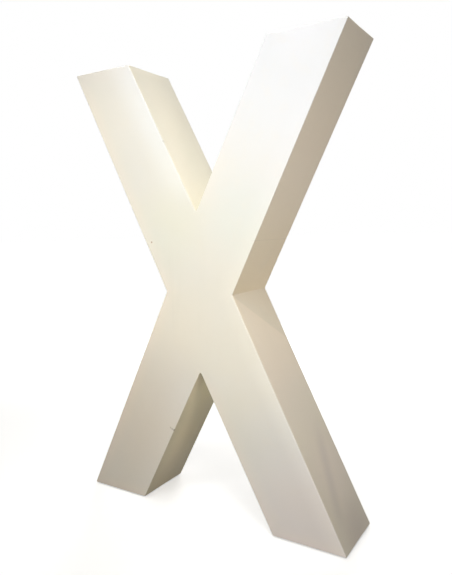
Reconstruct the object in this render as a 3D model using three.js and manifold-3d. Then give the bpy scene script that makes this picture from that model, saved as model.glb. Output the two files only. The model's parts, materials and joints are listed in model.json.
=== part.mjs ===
// A light-up letter X. An opal plastic shell is closed at the back by a screwed panel, which carries
// four light bars, their driver, and a mains inlet with a switch and a fuse drawer.
// Millimetres. +Z is up and +Y is the back. The origin is on the floor, in the middle of the four pads.

import * as THREE from "three";
import { mergeVertices } from "three/addons/utils/BufferGeometryUtils.js";
import Module from "manifold-3d";

const wasm = await Module();
wasm.setup();

// Letter outline, the same from the face to the rim
const letterHeight = 1000;
const letterDepth = 145;
const tipOuterHalf = 333; // from the letter's middle line to the outer corner of a limb's tip
const tipInnerHalf = 172; // from the middle line to a tip's inner corner
const waistHalf = 85; // from the middle line to a side crotch
const waistHeight = 344; // from the crotch between the lower limbs to the one between the upper limbs
const tipCornerRadius = 2;
const crotchRadius = 3;

// Shell
const wall = 4.5;
const faceEdgeRadius = 1.5;
const rimEdgeRadius = 1.2;
const insideRadius = 3;
const ledgeWidth = 16;
const ledgeThickness = 4.5;
const screwInset = 12.5; // from the outside of the shell to the screws' line on the ledge
const bossRadius = 7;
const bossFloor = 2;

// Back panel and its seal
const panelRecess = 8.5; // from the rim to the panel's back
const panelThickness = 4;
const panelPlay = 1;
const gasketThickness = 2;
const gasketSetback = 1.5; // from the ledge's edges to the seal's edges

// Gaps
const seatGap = 0.3; // between a piece and what it sits on or in
const sameVertex = 1e-4; // how close two corners of a mesh are when they are one
const overrun = 4; // how far a cutting shape runs past what it cuts

// Panel screws and the threaded inserts that they enter
const screwRadius = 2;
const screwLength = 14;
const screwHeadRadius = 4;
const screwHeadHeight = 2.4;
const screwDriveRadius = 1.4;
const screwDriveDepth = 1.3;
const screwHoleRadius = 2.4;
const insertRadius = 3.4;
const insertLength = 10;
const insertGroove = 0.5;

// Foot pads
const padRadius = 14;
const padThickness = 3;
const padSetback = 30; // from the face or the rim to a pad's centre
const padEdge = 1;
const padStemRadius = 4;
const padBarbRadius = 5.5;
const padBarbHeight = 4;

// Hanger plates, one across each upper tip under two panel screws
const hangerThickness = 2;
const hangerEndRadius = 6.5;
const hangerTabHalf = 15;
const hangerDrop = 30; // from the screws' line to the centre of the keyhole's entry
const keyholeEntryRadius = 5.5;
const keyholeSlotRadius = 2.75;
const keyholeSlotLength = 12;
const keyholeMargin = 5; // from the keyhole's entry to the end of the tab
const keyholePocket = 2; // how much wider the panel's hole behind it is

// Light bars
const barWidth = 24;
const barThickness = 1.6;
const barEndGap = 6; // from a bar's outer end to the keyhole's pocket
const barSideGap = 9; // from a bar's inner end to the driver, for the leads
const chipSize = 3.5;
const chipHeight = 0.8;
const chipSpacing = 85;
const headerWidth = 16;
const headerLength = 7;
const headerHeight = 6;
const lensThickness = 1.5;
const lensEdge = 1; // from the bar's edges to the lens strip's
const domeRadius = 6.5;
const domeHeight = 4.5;
const chipRoom = 0.7; // from the chips to the sides and the floor of the lens strip's channel
const pegRadius = 1.2;
const pegSetback = 5; // from the ends of the lens strip to its pegs

// Driver
const driverLength = 130;
const driverWidth = 42;
const driverHeight = 28;
const driverWall = 2;
const driverInletGap = 26; // from the inlet's body to the driver
const driverBossRadius = 4.5;
const driverBossSetback = 12; // from the driver's ends to its screws
const driverBossSideGap = 8; // from the driver's sides to its screws
const driverScrewLength = 12;
const driverRimDepth = 3;
const driverRimThickness = 1.5;
const circuitThickness = 1.6;
const circuitPostHeight = 3;
const circuitPostRadius = 2.5;
const circuitPostSetback = 5;
const coilWidth = 22;
const coilLength = 24;
const coilHeight = 15;
const capacitorRadius = 5;
const capacitorHeight = 14;
const terminalLength = 8;
const terminalHeight = 9;

// Leads
const mainsLeadRadius = 2.5;
const barLeadRadius = 1.5;
const barLeadSpread = 4; // from a header's middle to each of its two leads
const driverLeadSpread = 9; // from the driver's middle to each of its two leads
const leadStraight = 7; // how far a lead runs straight out of what it enters

// Mains inlet: a body through the panel, with a flange, a socket, a drawer and a switch
const inletWidth = 27;
const inletHeight = 47;
const inletDepth = 30;
const inletClearance = 6; // from the ledge at the lower crotch to the inlet's body
const flangeThickness = 2.2;
const flangeMargin = 1.5;
const flangeRadius = 2.5;
const earHalf = 25;
const earHeight = 14;
const earScrewHalf = 20;
const earScrewRadius = 1.5;
const earScrewLength = 9;
const earScrewHeadRadius = 2.8;
const earScrewHeadHeight = 1.8;
const inletPartition = 1.5; // between the socket, the drawer and the switch, and under the socket
const socketWidth = 24;
const socketHeight = 16.5;
const socketDepth = 17;
const socketChamfer = 4.5;
const pinWidth = 4;
const pinThickness = 2;
const pinLength = 12; // from the socket's floor
const pinHalfSpacing = 7;
const pinEarthRise = 4;
const tabLength = 8; // of a pin, beyond the back of the body
const bootWall = 2.5;

// Fuse drawer and its fuse
const drawerWidth = 22;
const drawerHeight = 8;
const drawerDepth = 19;
const drawerProud = 0.8;
const drawerFrontThickness = 3;
const drawerGripWidth = 6;
const drawerGripDepth = 1.2;
const fuseRadius = 2.6;
const fuseGlassRadius = 2.3;
const fuseLength = 20;
const fuseCapLength = 5;

// Switch
const rockerWidth = 19;
const rockerHalfHeight = 6.2;
const rockerRise = 6; // from the pivot to the ends of the rocker's face
const rockerSkirt = 3.2;
const rockerHub = 2.6;
const rockerTilt = 10; // degrees to each side of the middle
const rockerPivotDepth = 5.2; // from the flange's face to the pivot
const rockerWellDepth = 12;
const trunnionRadius = 1.5;
const trunnionLength = 1;

// Facets
const cornerSteps = 5;
const edgeSteps = 3;
const smallSides = 8;
const largeSides = 16;
const tubeSides = 8;
const tubeSteps = 14;
const domeRings = 2;

// Levels from the floor to the top, and from the face to the rim
const letterBottom = padThickness;
const letterTop = letterBottom + letterHeight;
const letterMiddle = (letterBottom + letterTop) / 2;
const face = -letterDepth / 2;
const rim = letterDepth / 2;
const panelBack = rim - panelRecess;
const panelFront = panelBack - panelThickness;
const gasketBack = panelFront - seatGap;
const gasketFront = gasketBack - gasketThickness;
const ledgeBack = gasketFront - seatGap;
const ledgeFront = ledgeBack - ledgeThickness;
const ledgeInner = wall + ledgeWidth;

// The outline's corners, anticlockwise from the upper left tip as seen from the front
const corners = [
  [-tipOuterHalf, letterTop],
  [-waistHalf, letterMiddle],
  [-tipOuterHalf, letterBottom],
  [-tipInnerHalf, letterBottom],
  [0, letterMiddle - waistHeight / 2],
  [tipInnerHalf, letterBottom],
  [tipOuterHalf, letterBottom],
  [waistHalf, letterMiddle],
  [tipOuterHalf, letterTop],
  [tipInnerHalf, letterTop],
  [0, letterMiddle + waistHeight / 2],
  [-tipInnerHalf, letterTop],
].map(([x, z]) => new THREE.Vector2(x, z));
const lowerCrotch = corners.findIndex(({ x, y }) => x === 0 && y < letterMiddle);
const upperLeftTip = upperTip(-1);
const upperRightTip = upperTip(1);

// The places in the list of the two corners of an upper tip, by the tip's side
function upperTip(side) {
  const places = [...corners.keys()];
  return places.filter((place) => corners[place].y === letterTop && Math.sign(corners[place].x) === side);
}

// Materials
function material(colour, roughness, metalness = 0) {
  return new THREE.MeshStandardMaterial({ color: colour, roughness, metalness });
}
const opal = material(0xf1ece0, 0.5);
const sheetWhite = material(0xe9e6de, 0.55);
const foam = material(0x2b2b2c, 0.95);
const rubber = material(0x2a2a2b, 0.9);
const steel = material(0xb9bcbf, 0.35, 1);
const brass = material(0xc3a05a, 0.35, 1);
const boardWhite = material(0xf2f3f1, 0.45);
const clearPlastic = material(0xdfe6e8, 0.1);
const driverWhite = material(0xe4e4e0, 0.6);
const circuitGreen = material(0x2c5a3a, 0.6);
const black = material(0x191a1b, 0.45);
const leadWhite = material(0xe8e7e2, 0.55);
const glass = material(0xdde4e6, 0.08);

// Solids: a closed three.js geometry becomes a solid that can be joined and cut

function solid(geometry) {
  const plain = geometry.clone();
  plain.deleteAttribute("normal");
  plain.deleteAttribute("uv");
  const merged = mergeVertices(plain, sameVertex);
  const index = [...merged.index.array];
  const faces = [];
  for (let i = 0; i < index.length; i += 3) {
    const [a, b, c] = index.slice(i, i + 3);
    if (a !== b && b !== c && c !== a) faces.push(a, b, c);
  }
  const mesh = new wasm.Mesh({
    numProp: 3,
    vertProperties: new Float32Array(merged.attributes.position.array),
    triVerts: new Uint32Array(faces),
  });
  return new wasm.Manifold(mesh);
}

function join(...solids) {
  return solids.reduce((whole, part) => whole.add(part));
}

function cut(whole, ...tools) {
  return tools.reduce((left, tool) => left.subtract(tool), whole);
}

function geometryOf(made) {
  const mesh = made.getMesh();
  const geometry = new THREE.BufferGeometry();
  geometry.setAttribute("position", new THREE.BufferAttribute(mesh.vertProperties, 3));
  geometry.setIndex(new THREE.BufferAttribute(mesh.triVerts, 1));
  const flat = geometry.toNonIndexed();
  flat.computeVertexNormals();
  return flat;
}

function piece(name, made, finish, position = [0, 0, 0]) {
  const mesh = new THREE.Mesh(geometryOf(made), finish);
  mesh.name = name;
  mesh.position.set(...position);
  return mesh;
}

// A box of a given width and height, from one level along y to another
function block(width, height, low, high, x = 0, z = 0) {
  const geometry = new THREE.BoxGeometry(width, high - low, height);
  return solid(geometry.translate(x, (low + high) / 2, z));
}

// A round rod about a given centre, along x, y or z
function rod(axis, radius, length, [x, y, z], sides = smallSides) {
  const geometry = new THREE.CylinderGeometry(radius, radius, length, sides);
  if (axis === "x") geometry.rotateZ(Math.PI / 2);
  if (axis === "z") geometry.rotateX(Math.PI / 2);
  return solid(geometry.translate(x, y, z));
}

// A rod along y, from one level to another
function rodBetween(radius, low, high, x = 0, z = 0, sides = smallSides) {
  return rod("y", radius, high - low, [x, (low + high) / 2, z], sides);
}

// A turned solid about the y axis, from pairs of radius and level
function turned(profile, sides = smallSides) {
  const points = profile.map(([radius, level]) => new THREE.Vector2(radius, level));
  return solid(new THREE.LatheGeometry(points, sides));
}

// A flat outline in x and z, carried along y from one level to another
function plate(outline, low, high) {
  const shape = new THREE.Shape(outline.map(([x, z]) => new THREE.Vector2(x, -z)));
  const geometry = new THREE.ExtrudeGeometry(shape, { depth: high - low, bevelEnabled: false });
  return solid(geometry.rotateX(-Math.PI / 2).translate(0, low, 0));
}

// A round tube along a smooth curve through the given points. A point halfway along its first and its
// last stretch keeps it straight where it leaves and enters.
function tube(points, radius) {
  const circle = new THREE.Shape().absarc(0, 0, radius, 0, 2 * Math.PI);
  const afterStart = points[0].clone().lerp(points[1], 1 / 2);
  const beforeEnd = points.at(-1).clone().lerp(points.at(-2), 1 / 2);
  const path = new THREE.CatmullRomCurve3([
    points[0],
    afterStart,
    ...points.slice(1, -1),
    beforeEnd,
    points.at(-1),
  ]);
  const sides = { curveSegments: tubeSides / 2, bevelEnabled: false };
  return solid(new THREE.ExtrudeGeometry(circle, { steps: tubeSteps, extrudePath: path, ...sides }));
}

// Letter outline

// A point on the rounded corner of the outline drawn in by inset, at a share of the corner's turn. The
// corners of the tips are sharper outside than inside.
function cornerPoint(index, inset, turnShare) {
  const here = corners[index];
  const into = here.clone().sub(corners.at(index - 1)).normalize();
  const out = corners[(index + 1) % corners.length].clone().sub(here).normalize();
  const turn = Math.atan2(into.cross(out), into.dot(out));
  const inward = new THREE.Vector2(-into.y, into.x);
  const inwardAfter = new THREE.Vector2(-out.y, out.x);
  const mitre = inward.clone().add(inwardAfter).divideScalar(1 + inward.dot(inwardAfter));
  const side = turn > 0 ? -1 : 1;
  const tipRadius = inset < wall ? tipCornerRadius : insideRadius;
  const radius = turn > 0 ? tipRadius : crotchRadius + inset;
  const centre = here.clone().addScaledVector(mitre, inset - side * radius);
  const spoke = inward.rotateAround(new THREE.Vector2(), turn * turnShare);
  return centre.addScaledVector(spoke, side * radius);
}

function outlineAt(inset) {
  return corners.flatMap((corner, index) =>
    Array.from({ length: cornerSteps + 1 }, (_, step) => cornerPoint(index, inset, step / cornerSteps)),
  );
}

// The middle of a corner on the screws' line
function screwSpot(index) {
  return cornerPoint(index, screwInset, 1 / 2);
}

// A solid from a profile of inset and level that is carried round the outline. It is capped at the
// profile's two ends, or closes on itself as a hoop.
function carriedRound(profile, hoop = false) {
  const rings = profile.map(([inset, level]) => outlineAt(inset).map((p) => [p.x, level, p.y]));
  const count = rings[0].length;
  const faces = [];
  const bands = hoop ? rings.length : rings.length - 1;
  for (let band = 0; band < bands; band++) {
    const start = band * count;
    const next = ((band + 1) % rings.length) * count;
    for (let i = 0; i < count; i++) {
      const j = (i + 1) % count;
      faces.push(start + i, next + i, next + j, start + i, next + j, start + j);
    }
  }
  if (!hoop) {
    const last = (rings.length - 1) * count;
    const flat = (ring) => ring.map(([x, , z]) => new THREE.Vector2(x, z));
    THREE.ShapeUtils.triangulateShape(flat(rings[0]), []).forEach(([a, b, c]) => faces.push(a, b, c));
    THREE.ShapeUtils.triangulateShape(flat(rings.at(-1)), []).forEach(([a, b, c]) =>
      faces.push(last + c, last + b, last + a),
    );
  }
  const geometry = new THREE.BufferGeometry();
  geometry.setAttribute("position", new THREE.Float32BufferAttribute(rings.flat(2), 3));
  geometry.setIndex(faces);
  return solid(geometry);
}

// A quarter round of the profile, from one inset and level to another
function quarter(radius, centreInset, centreLevel, fromDegrees) {
  return Array.from({ length: edgeSteps + 1 }, (_, step) => {
    const angle = THREE.MathUtils.degToRad(fromDegrees + (90 * step) / edgeSteps);
    return [centreInset + radius * Math.cos(angle), centreLevel + radius * Math.sin(angle)];
  }).reverse();
}

// Shell

function frontShell() {
  const rimOut = [
    [0, rim - rimEdgeRadius],
    [rimEdgeRadius, rim],
    [wall, rim],
  ];
  const ledge = [
    [wall, ledgeBack],
    [ledgeInner, ledgeBack],
    [ledgeInner, ledgeFront],
    [wall, ledgeFront],
  ];
  const cavity = [
    [wall, face + wall + insideRadius],
    [wall + insideRadius, face + wall],
  ];
  const faceEdge = quarter(faceEdgeRadius, faceEdgeRadius, face + faceEdgeRadius, 180);
  let shell = carriedRound([...faceEdge, ...rimOut, ...ledge, ...cavity]);
  const bossEnd = ledgeBack - insertLength - seatGap - bossFloor;
  const bossStart = (ledgeBack + ledgeFront) / 2;
  const boreEnd = ledgeBack - insertLength - seatGap;
  corners.forEach((corner, index) => {
    const { x, y: z } = screwSpot(index);
    shell = shell.add(rodBetween(bossRadius, bossEnd, bossStart, x, z));
    shell = shell.subtract(rodBetween(insertRadius + seatGap, boreEnd, ledgeBack + overrun, x, z));
  });
  const padHole = (at) => rod("z", padStemRadius + seatGap, wall + 2 * overrun, at, largeSides);
  return cut(shell, ...padSpots().map(({ x, y }) => padHole([x, y, letterBottom + wall / 2])));
}

// Foot pads

function padSpots() {
  const x = (tipOuterHalf + tipInnerHalf) / 2;
  const y = rim - padSetback;
  return [
    { name: "front_left", x: -x, y: -y },
    { name: "front_right", x, y: -y },
    { name: "back_left", x: -x, y },
    { name: "back_right", x, y },
  ];
}

// A disc with a stem that is pushed through the wall, and a barb that holds it. It stands on z 0.
function footPad() {
  const top = padThickness - seatGap;
  const barb = letterBottom + wall + seatGap;
  const profile = [
    [0, 0],
    [padRadius - padEdge, 0],
    [padRadius, padEdge],
    [padRadius, top],
    [padStemRadius, top],
    [padStemRadius, barb],
    [padBarbRadius, barb],
    [padStemRadius / 2, barb + padBarbHeight],
    [0, barb + padBarbHeight],
  ];
  const points = profile.map(([radius, level]) => new THREE.Vector2(radius, level));
  return solid(new THREE.LatheGeometry(points, largeSides).rotateX(Math.PI / 2));
}

// Seal, panel, screws and inserts

function panelGasket() {
  const outer = wall + gasketSetback;
  const inner = ledgeInner - gasketSetback;
  const profile = [
    [outer, gasketFront],
    [outer, gasketBack],
    [inner, gasketBack],
    [inner, gasketFront],
  ];
  const holes = corners.map((corner, index) => {
    const { x, y: z } = screwSpot(index);
    return rodBetween(screwHoleRadius, gasketFront - overrun, gasketBack + overrun, x, z);
  });
  return cut(carriedRound(profile, true), ...holes);
}

function backPanel() {
  const profile = [
    [wall + panelPlay, panelFront],
    [wall + panelPlay, panelBack],
  ];
  const low = panelFront - overrun;
  const high = panelBack + overrun;
  const holes = corners.map((corner, index) => {
    const { x, y: z } = screwSpot(index);
    return rodBetween(screwHoleRadius, low, high, x, z);
  });
  const driverHoles = driverScrewSpots().map(({ x, z }) => rodBetween(screwHoleRadius, low, high, x, z));
  const earHoles = [-earScrewHalf, earScrewHalf].map((x) =>
    rodBetween(earScrewRadius + seatGap, low, high, x, inletMiddle),
  );
  const inletHole = block(inletWidth + 2 * seatGap, inletHeight + 2 * seatGap, low, high, 0, inletMiddle);
  const pockets = [upperLeftTip, upperRightTip].map((tip) => keyhole(tip, keyholePocket, low, high));
  return cut(carriedRound(profile), ...holes, ...driverHoles, ...earHoles, inletHole, ...pockets);
}

// A pan head screw along y, with its seat at y 0 and its head behind it
function panScrew(radius, length, headRadius, headHeight) {
  return turned([
    [0, -length],
    [radius / 2, -length],
    [radius, radius - length],
    [radius, 0],
    [headRadius, 0],
    [headRadius, headHeight / 3],
    [headRadius * Math.SQRT1_2, headHeight],
    [screwDriveRadius, headHeight],
    [screwDriveRadius, headHeight - screwDriveDepth],
    [0, headHeight - screwDriveDepth],
  ]);
}

// A threaded sleeve along y, with its open end at y 0. Its inner half is narrower.
function panelInsert() {
  const bore = screwRadius + seatGap;
  const neck = insertRadius - insertGroove;
  const profile = [
    [bore, -insertLength],
    [neck, -insertLength],
    [neck, -insertLength / 2],
    [insertRadius, -insertLength / 2],
    [insertRadius, 0],
    [bore, 0],
    [bore, -insertLength],
  ];
  return turned(profile, tubeSides);
}

// Hanger plates

function hangerLevel(tip) {
  return (screwSpot(tip[0]).y + screwSpot(tip[1]).y) / 2;
}

// The middle of a keyhole's entry, on the limb's middle line
function keyholeSpot(tip) {
  const z = hangerLevel(tip) - hangerDrop;
  const side = Math.sign(corners[tip[0]].x);
  return { x: side * (z - letterMiddle) * Math.tan(limbAngle), z };
}

function keyhole(tip, wider, low, high) {
  const { x, z } = keyholeSpot(tip);
  const slotTop = z + keyholeSlotLength;
  const slotRadius = keyholeSlotRadius + wider;
  return join(
    rodBetween(keyholeEntryRadius + wider, low, high, x, z, largeSides),
    block(2 * slotRadius, keyholeSlotLength, low, high, x, (z + slotTop) / 2),
    rodBetween(slotRadius, low, high, x, slotTop),
  );
}

function hangerPlate(tip) {
  const low = panelBack + seatGap;
  const high = low + hangerThickness;
  const spots = tip.map(screwSpot);
  const span = Math.abs(spots[0].x - spots[1].x);
  const level = hangerLevel(tip);
  const bottom = keyholeSpot(tip).z - keyholeEntryRadius - keyholeMargin;
  const bandMiddle = (spots[0].x + spots[1].x) / 2;
  const band = block(span, 2 * hangerEndRadius, low, high, bandMiddle, level);
  const tab = block(2 * hangerTabHalf, level - bottom, low, high, keyholeSpot(tip).x, (level + bottom) / 2);
  const ends = spots.map(({ x }) => rodBetween(hangerEndRadius, low, high, x, level, largeSides));
  const holes = spots.map(({ x, y }) => rodBetween(screwHoleRadius, low - overrun, high + overrun, x, y));
  return cut(join(band, tab, ...ends), ...holes, keyhole(tip, 0, low - overrun, high + overrun));
}

// Inlet levels

const lowerCrotchLedge = cornerPoint(lowerCrotch, ledgeInner, 1 / 2).y;
const inletBottom = lowerCrotchLedge + inletClearance;
const inletMiddle = inletBottom + inletHeight / 2;
const inletTop = inletBottom + inletHeight;
const flangeLow = panelBack + seatGap;
const flangeFace = flangeLow + flangeThickness;
const inletEnd = flangeLow - inletDepth;
const socketMiddle = inletBottom + inletPartition + socketHeight / 2;
const drawerMiddle = socketMiddle + socketHeight / 2 + inletPartition + seatGap + drawerHeight / 2;
const tiltRadians = THREE.MathUtils.degToRad(rockerTilt);
const rockerSweep = rockerHalfHeight * Math.cos(tiltRadians) + rockerRise * Math.sin(tiltRadians) + seatGap;
const rockerMiddle = drawerMiddle + drawerHeight / 2 + seatGap + inletPartition + rockerSweep;
const rockerPivot = flangeFace - rockerPivotDepth;
const driverBottom = inletTop + driverInletGap;
const driverMiddle = driverBottom + driverLength / 2;
const driverTop = driverBottom + driverLength;
const driverBack = panelFront - seatGap;
const driverFront = driverBack - driverHeight;

// Limbs: each light bar lies on its limb's middle line, which runs from the letter's middle to the tip's

const tipMiddle = (tipOuterHalf + tipInnerHalf) / 2;
const limbAngle = Math.atan2(tipMiddle, letterHeight / 2);
const limbReach = Math.hypot(tipMiddle, letterHeight / 2);
const barClearX = Math.max(driverWidth, inletWidth) / 2 + barSideGap + (barWidth / 2) * Math.cos(limbAngle);
const barClearZ = driverTop - letterMiddle + leadStraight;
const barStart = Math.max(barClearX / Math.sin(limbAngle), barClearZ / Math.cos(limbAngle));
const barEndRise = screwInset + insideRadius + hangerDrop + keyholeEntryRadius + keyholePocket + barEndGap;
const barEnd = limbReach - barEndRise / Math.cos(limbAngle);
const barLength = barEnd - barStart;
const barBack = panelFront - seatGap;
const barFront = barBack - barThickness;
const lensStart = headerLength + 2 * seatGap;
const lensLength = barLength - lensStart;
const limbs = [
  { name: "upper_left", side: -1, up: 1 },
  { name: "upper_right", side: 1, up: 1 },
  { name: "lower_left", side: -1, up: -1 },
  { name: "lower_right", side: 1, up: -1 },
];

// A point at a distance along a limb's middle line and across it, away from the letter's middle line
function limbPoint({ side, up }, along, across, level) {
  const x = along * Math.sin(limbAngle) + across * Math.cos(limbAngle);
  const z = along * Math.cos(limbAngle) - across * Math.sin(limbAngle);
  return new THREE.Vector3(side * x, level, letterMiddle + up * z);
}

function chipPlaces() {
  const room = lensLength - 2 * domeRadius - 2 * lensEdge;
  const count = Math.max(1, Math.floor(room / chipSpacing) + 1);
  const first = lensStart + (lensLength - (count - 1) * chipSpacing) / 2;
  return Array.from({ length: count }, (_, i) => first + i * chipSpacing);
}

function pegPlaces() {
  return [lensStart + pegSetback, barLength - pegSetback];
}

// A board along z from z 0, with its back at y 0, its chips and the header that its leads enter
function lightBar() {
  const front = -barThickness;
  const rooted = front + barThickness / 2;
  const board = block(barWidth, barLength, front, 0, 0, barLength / 2);
  const chips = chipPlaces().map((z) => block(chipSize, chipSize, front - chipHeight, rooted, 0, z));
  const header = block(headerWidth, headerLength, front - headerHeight, rooted, 0, headerLength / 2);
  const holes = pegPlaces().map((z) => {
    return rodBetween(pegRadius + seatGap, front - overrun, overrun, 0, z, tubeSides);
  });
  return cut(join(board, ...chips, header), ...holes);
}

// A clear strip over the chips, with a channel for them, a dome over each and pegs that enter the board
function lensStrip() {
  const back = -barThickness - seatGap;
  const front = back - lensThickness;
  const middle = (back + front) / 2;
  const strip = block(barWidth - 2 * lensEdge, lensLength, front, back, 0, lensStart + lensLength / 2);
  const dome = Array.from({ length: domeRings + 1 }, (_, ring) => {
    const angle = ((Math.PI / 2) * ring) / domeRings;
    return [domeRadius * Math.sin(angle), front - domeHeight * Math.cos(angle)];
  });
  const domeProfile = [...dome, [domeRadius, middle], [0, middle]];
  const domes = chipPlaces().map((z) => turned(domeProfile, tubeSides).translate([0, 0, z]));
  const pegs = pegPlaces().map((z) => rodBetween(pegRadius, middle, -seatGap, 0, z, tubeSides));
  const chips = chipPlaces();
  const channelWidth = chipSize + 2 * chipRoom;
  const channelLength = chips.at(-1) - chips[0] + channelWidth;
  const channelMiddle = (chips.at(-1) + chips[0]) / 2;
  const channelFloor = -barThickness - chipHeight - chipRoom;
  const channelMouth = back + seatGap / 2;
  const channel = block(channelWidth, channelLength, channelFloor, channelMouth, 0, channelMiddle);
  return cut(join(strip, ...domes, ...pegs), channel);
}

// Driver

function driverScrewSpots() {
  const x = driverWidth / 2 - driverBossSideGap;
  return [
    { name: "lower", x: -x, z: driverBottom + driverBossSetback },
    { name: "upper", x, z: driverTop - driverBossSetback },
  ];
}

function driverBase() {
  const coverBack = driverFront + driverWall + seatGap;
  const floor = driverBack - driverWall;
  const rooted = driverBack - driverWall / 2;
  const whole = block(driverWidth, driverLength, coverBack, driverBack, 0, driverMiddle);
  const roomWidth = driverWidth - 2 * driverWall;
  const roomLength = driverLength - 2 * driverWall;
  const room = block(roomWidth, roomLength, coverBack - overrun, floor, 0, driverMiddle);
  const bossFront = driverBack - driverScrewLength;
  const bosses = driverScrewSpots().map(({ x, z }) => rodBetween(driverBossRadius, bossFront, rooted, x, z));
  const bores = driverScrewSpots().map(({ x, z }) => {
    return rodBetween(screwRadius + seatGap, bossFront + driverWall, driverBack + overrun, x, z);
  });
  const posts = circuitPosts().map(({ x, z }) => {
    return rodBetween(circuitPostRadius, floor - circuitPostHeight, rooted, x, z, tubeSides);
  });
  const leadHole = (radius, x, z) => {
    return rod("z", radius + seatGap, driverWall + overrun, [x, driverLeadLevel, z], tubeSides);
  };
  const leadHoles = [
    leadHole(mainsLeadRadius, 0, driverBottom),
    leadHole(barLeadRadius, -driverLeadSpread, driverTop),
    leadHole(barLeadRadius, driverLeadSpread, driverTop),
  ];
  return cut(join(cut(whole, room), ...bosses, ...posts), ...bores, ...leadHoles);
}

function driverCover() {
  const lidBack = driverFront + driverWall;
  const lid = block(driverWidth, driverLength, driverFront, lidBack, 0, driverMiddle);
  const inset = driverWall + seatGap;
  const width = driverWidth - 2 * inset;
  const length = driverLength - 2 * inset;
  const collarBack = lidBack + driverRimDepth;
  const collar = block(width, length, lidBack - driverWall / 2, collarBack, 0, driverMiddle);
  const innerWidth = width - 2 * driverRimThickness;
  const innerLength = length - 2 * driverRimThickness;
  const inner = block(innerWidth, innerLength, lidBack, collarBack + overrun, 0, driverMiddle);
  return cut(join(lid, collar), inner);
}

const circuitBack = driverBack - driverWall - circuitPostHeight - seatGap;
const circuitFront = circuitBack - circuitThickness;
const driverLeadLevel = circuitFront - terminalHeight - mainsLeadRadius - seatGap;
const circuitLength = driverLength - 2 * (driverBossSetback + driverBossRadius + seatGap);
const circuitWidth = driverWidth - 2 * (driverWall + seatGap);

function circuitPosts() {
  const x = circuitWidth / 2 - circuitPostSetback;
  const z = circuitLength / 2 - circuitPostSetback;
  return [
    { x: -x, z: driverMiddle - z },
    { x, z: driverMiddle - z },
    { x: -x, z: driverMiddle + z },
    { x, z: driverMiddle + z },
  ];
}

// The driver's board with the parts that are soldered to it
function driverCircuit() {
  const board = block(circuitWidth, circuitLength, circuitFront, circuitBack, 0, driverMiddle);
  const rooted = (circuitFront + circuitBack) / 2;
  const coil = block(coilWidth, coilLength, circuitFront - coilHeight, rooted, 0, driverMiddle);
  const reach = (circuitLength - terminalLength) / 2;
  const terminalFront = circuitFront - terminalHeight;
  const terminals = [-reach, reach].map((z) => {
    return block(circuitWidth / 2, terminalLength, terminalFront, rooted, 0, driverMiddle + z);
  });
  const place = (coilLength / 2 + reach - terminalLength / 2) / 2;
  const capacitorFront = circuitFront - capacitorHeight;
  const capacitors = [-1, 1].map((side) => {
    const z = driverMiddle + side * place;
    return rodBetween(capacitorRadius, capacitorFront, rooted, side * capacitorRadius, z);
  });
  return join(board, coil, ...terminals, ...capacitors);
}

// Inlet

function inletHousing() {
  const body = block(inletWidth, inletHeight, inletEnd, flangeFace, 0, inletMiddle);
  const halfWidth = inletWidth / 2 + flangeMargin;
  const halfHeight = inletHeight / 2 + flangeMargin;
  const flange = roundedPlate(halfWidth, halfHeight);
  const ears = roundedPlate(earHalf, earHeight / 2);
  const outside = flangeFace + overrun;
  const earHoles = [-earScrewHalf, earScrewHalf].map((x) => {
    return rodBetween(earScrewRadius + seatGap, flangeLow - overrun, outside, x, inletMiddle);
  });
  const socketFloor = flangeFace - socketDepth;
  const socket = plate(socketOutline(), socketFloor, outside);
  const slots = pins().map(({ x, z }) => {
    const width = pinThickness + 2 * seatGap;
    return block(width, pinWidth + 2 * seatGap, inletEnd - overrun, socketFloor + overrun, x, z);
  });
  const bayFloor = flangeFace - drawerDepth - seatGap;
  const bayHeight = drawerHeight + 2 * seatGap;
  const bay = block(drawerWidth + 2 * seatGap, bayHeight, bayFloor, outside, 0, drawerMiddle);
  const wellFloor = flangeFace - rockerWellDepth;
  const well = block(rockerWidth + 2 * seatGap, 2 * rockerSweep, wellFloor, outside, 0, rockerMiddle);
  const bearingLength = rockerWidth + 2 * (trunnionLength + 2 * seatGap);
  const bearing = rod("x", trunnionRadius + seatGap, bearingLength, [0, rockerPivot, rockerMiddle]);
  return cut(join(body, flange, ears), ...earHoles, socket, ...slots, bay, well, bearing);
}

// A flat plate of the flange's thickness about the inlet's middle line. Its round corners run
// anticlockwise from the upper right.
function roundedPlate(halfWidth, halfHeight) {
  const shape = [];
  [0, 90, 180, 270].forEach((from, index) => {
    const x = (index % 3 === 0 ? 1 : -1) * (halfWidth - flangeRadius);
    const z = inletMiddle + (index < 2 ? 1 : -1) * (halfHeight - flangeRadius);
    for (let step = 0; step <= cornerSteps; step++) {
      const angle = THREE.MathUtils.degToRad(from + (90 * step) / cornerSteps);
      shape.push([x + flangeRadius * Math.cos(angle), z + flangeRadius * Math.sin(angle)]);
    }
  });
  return plate(shape, flangeLow, flangeFace);
}

// A rectangle with its two upper corners cut off
function socketOutline() {
  const half = socketWidth / 2;
  const bottom = socketMiddle - socketHeight / 2;
  const top = socketMiddle + socketHeight / 2;
  return [
    [-half, bottom],
    [half, bottom],
    [half, top - socketChamfer],
    [half - socketChamfer, top],
    [socketChamfer - half, top],
    [-half, top - socketChamfer],
  ];
}

function pins() {
  const low = socketMiddle - pinEarthRise / 2;
  return [
    { name: "live", x: -pinHalfSpacing, z: low },
    { name: "neutral", x: pinHalfSpacing, z: low },
    { name: "earth", x: 0, z: low + pinEarthRise },
  ];
}

// A flat pin along y, from its tab behind the body to its tip in the socket
function inletPin() {
  const tip = flangeFace - socketDepth + pinLength;
  return block(pinThickness, pinWidth, inletEnd - tabLength, tip);
}

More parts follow.
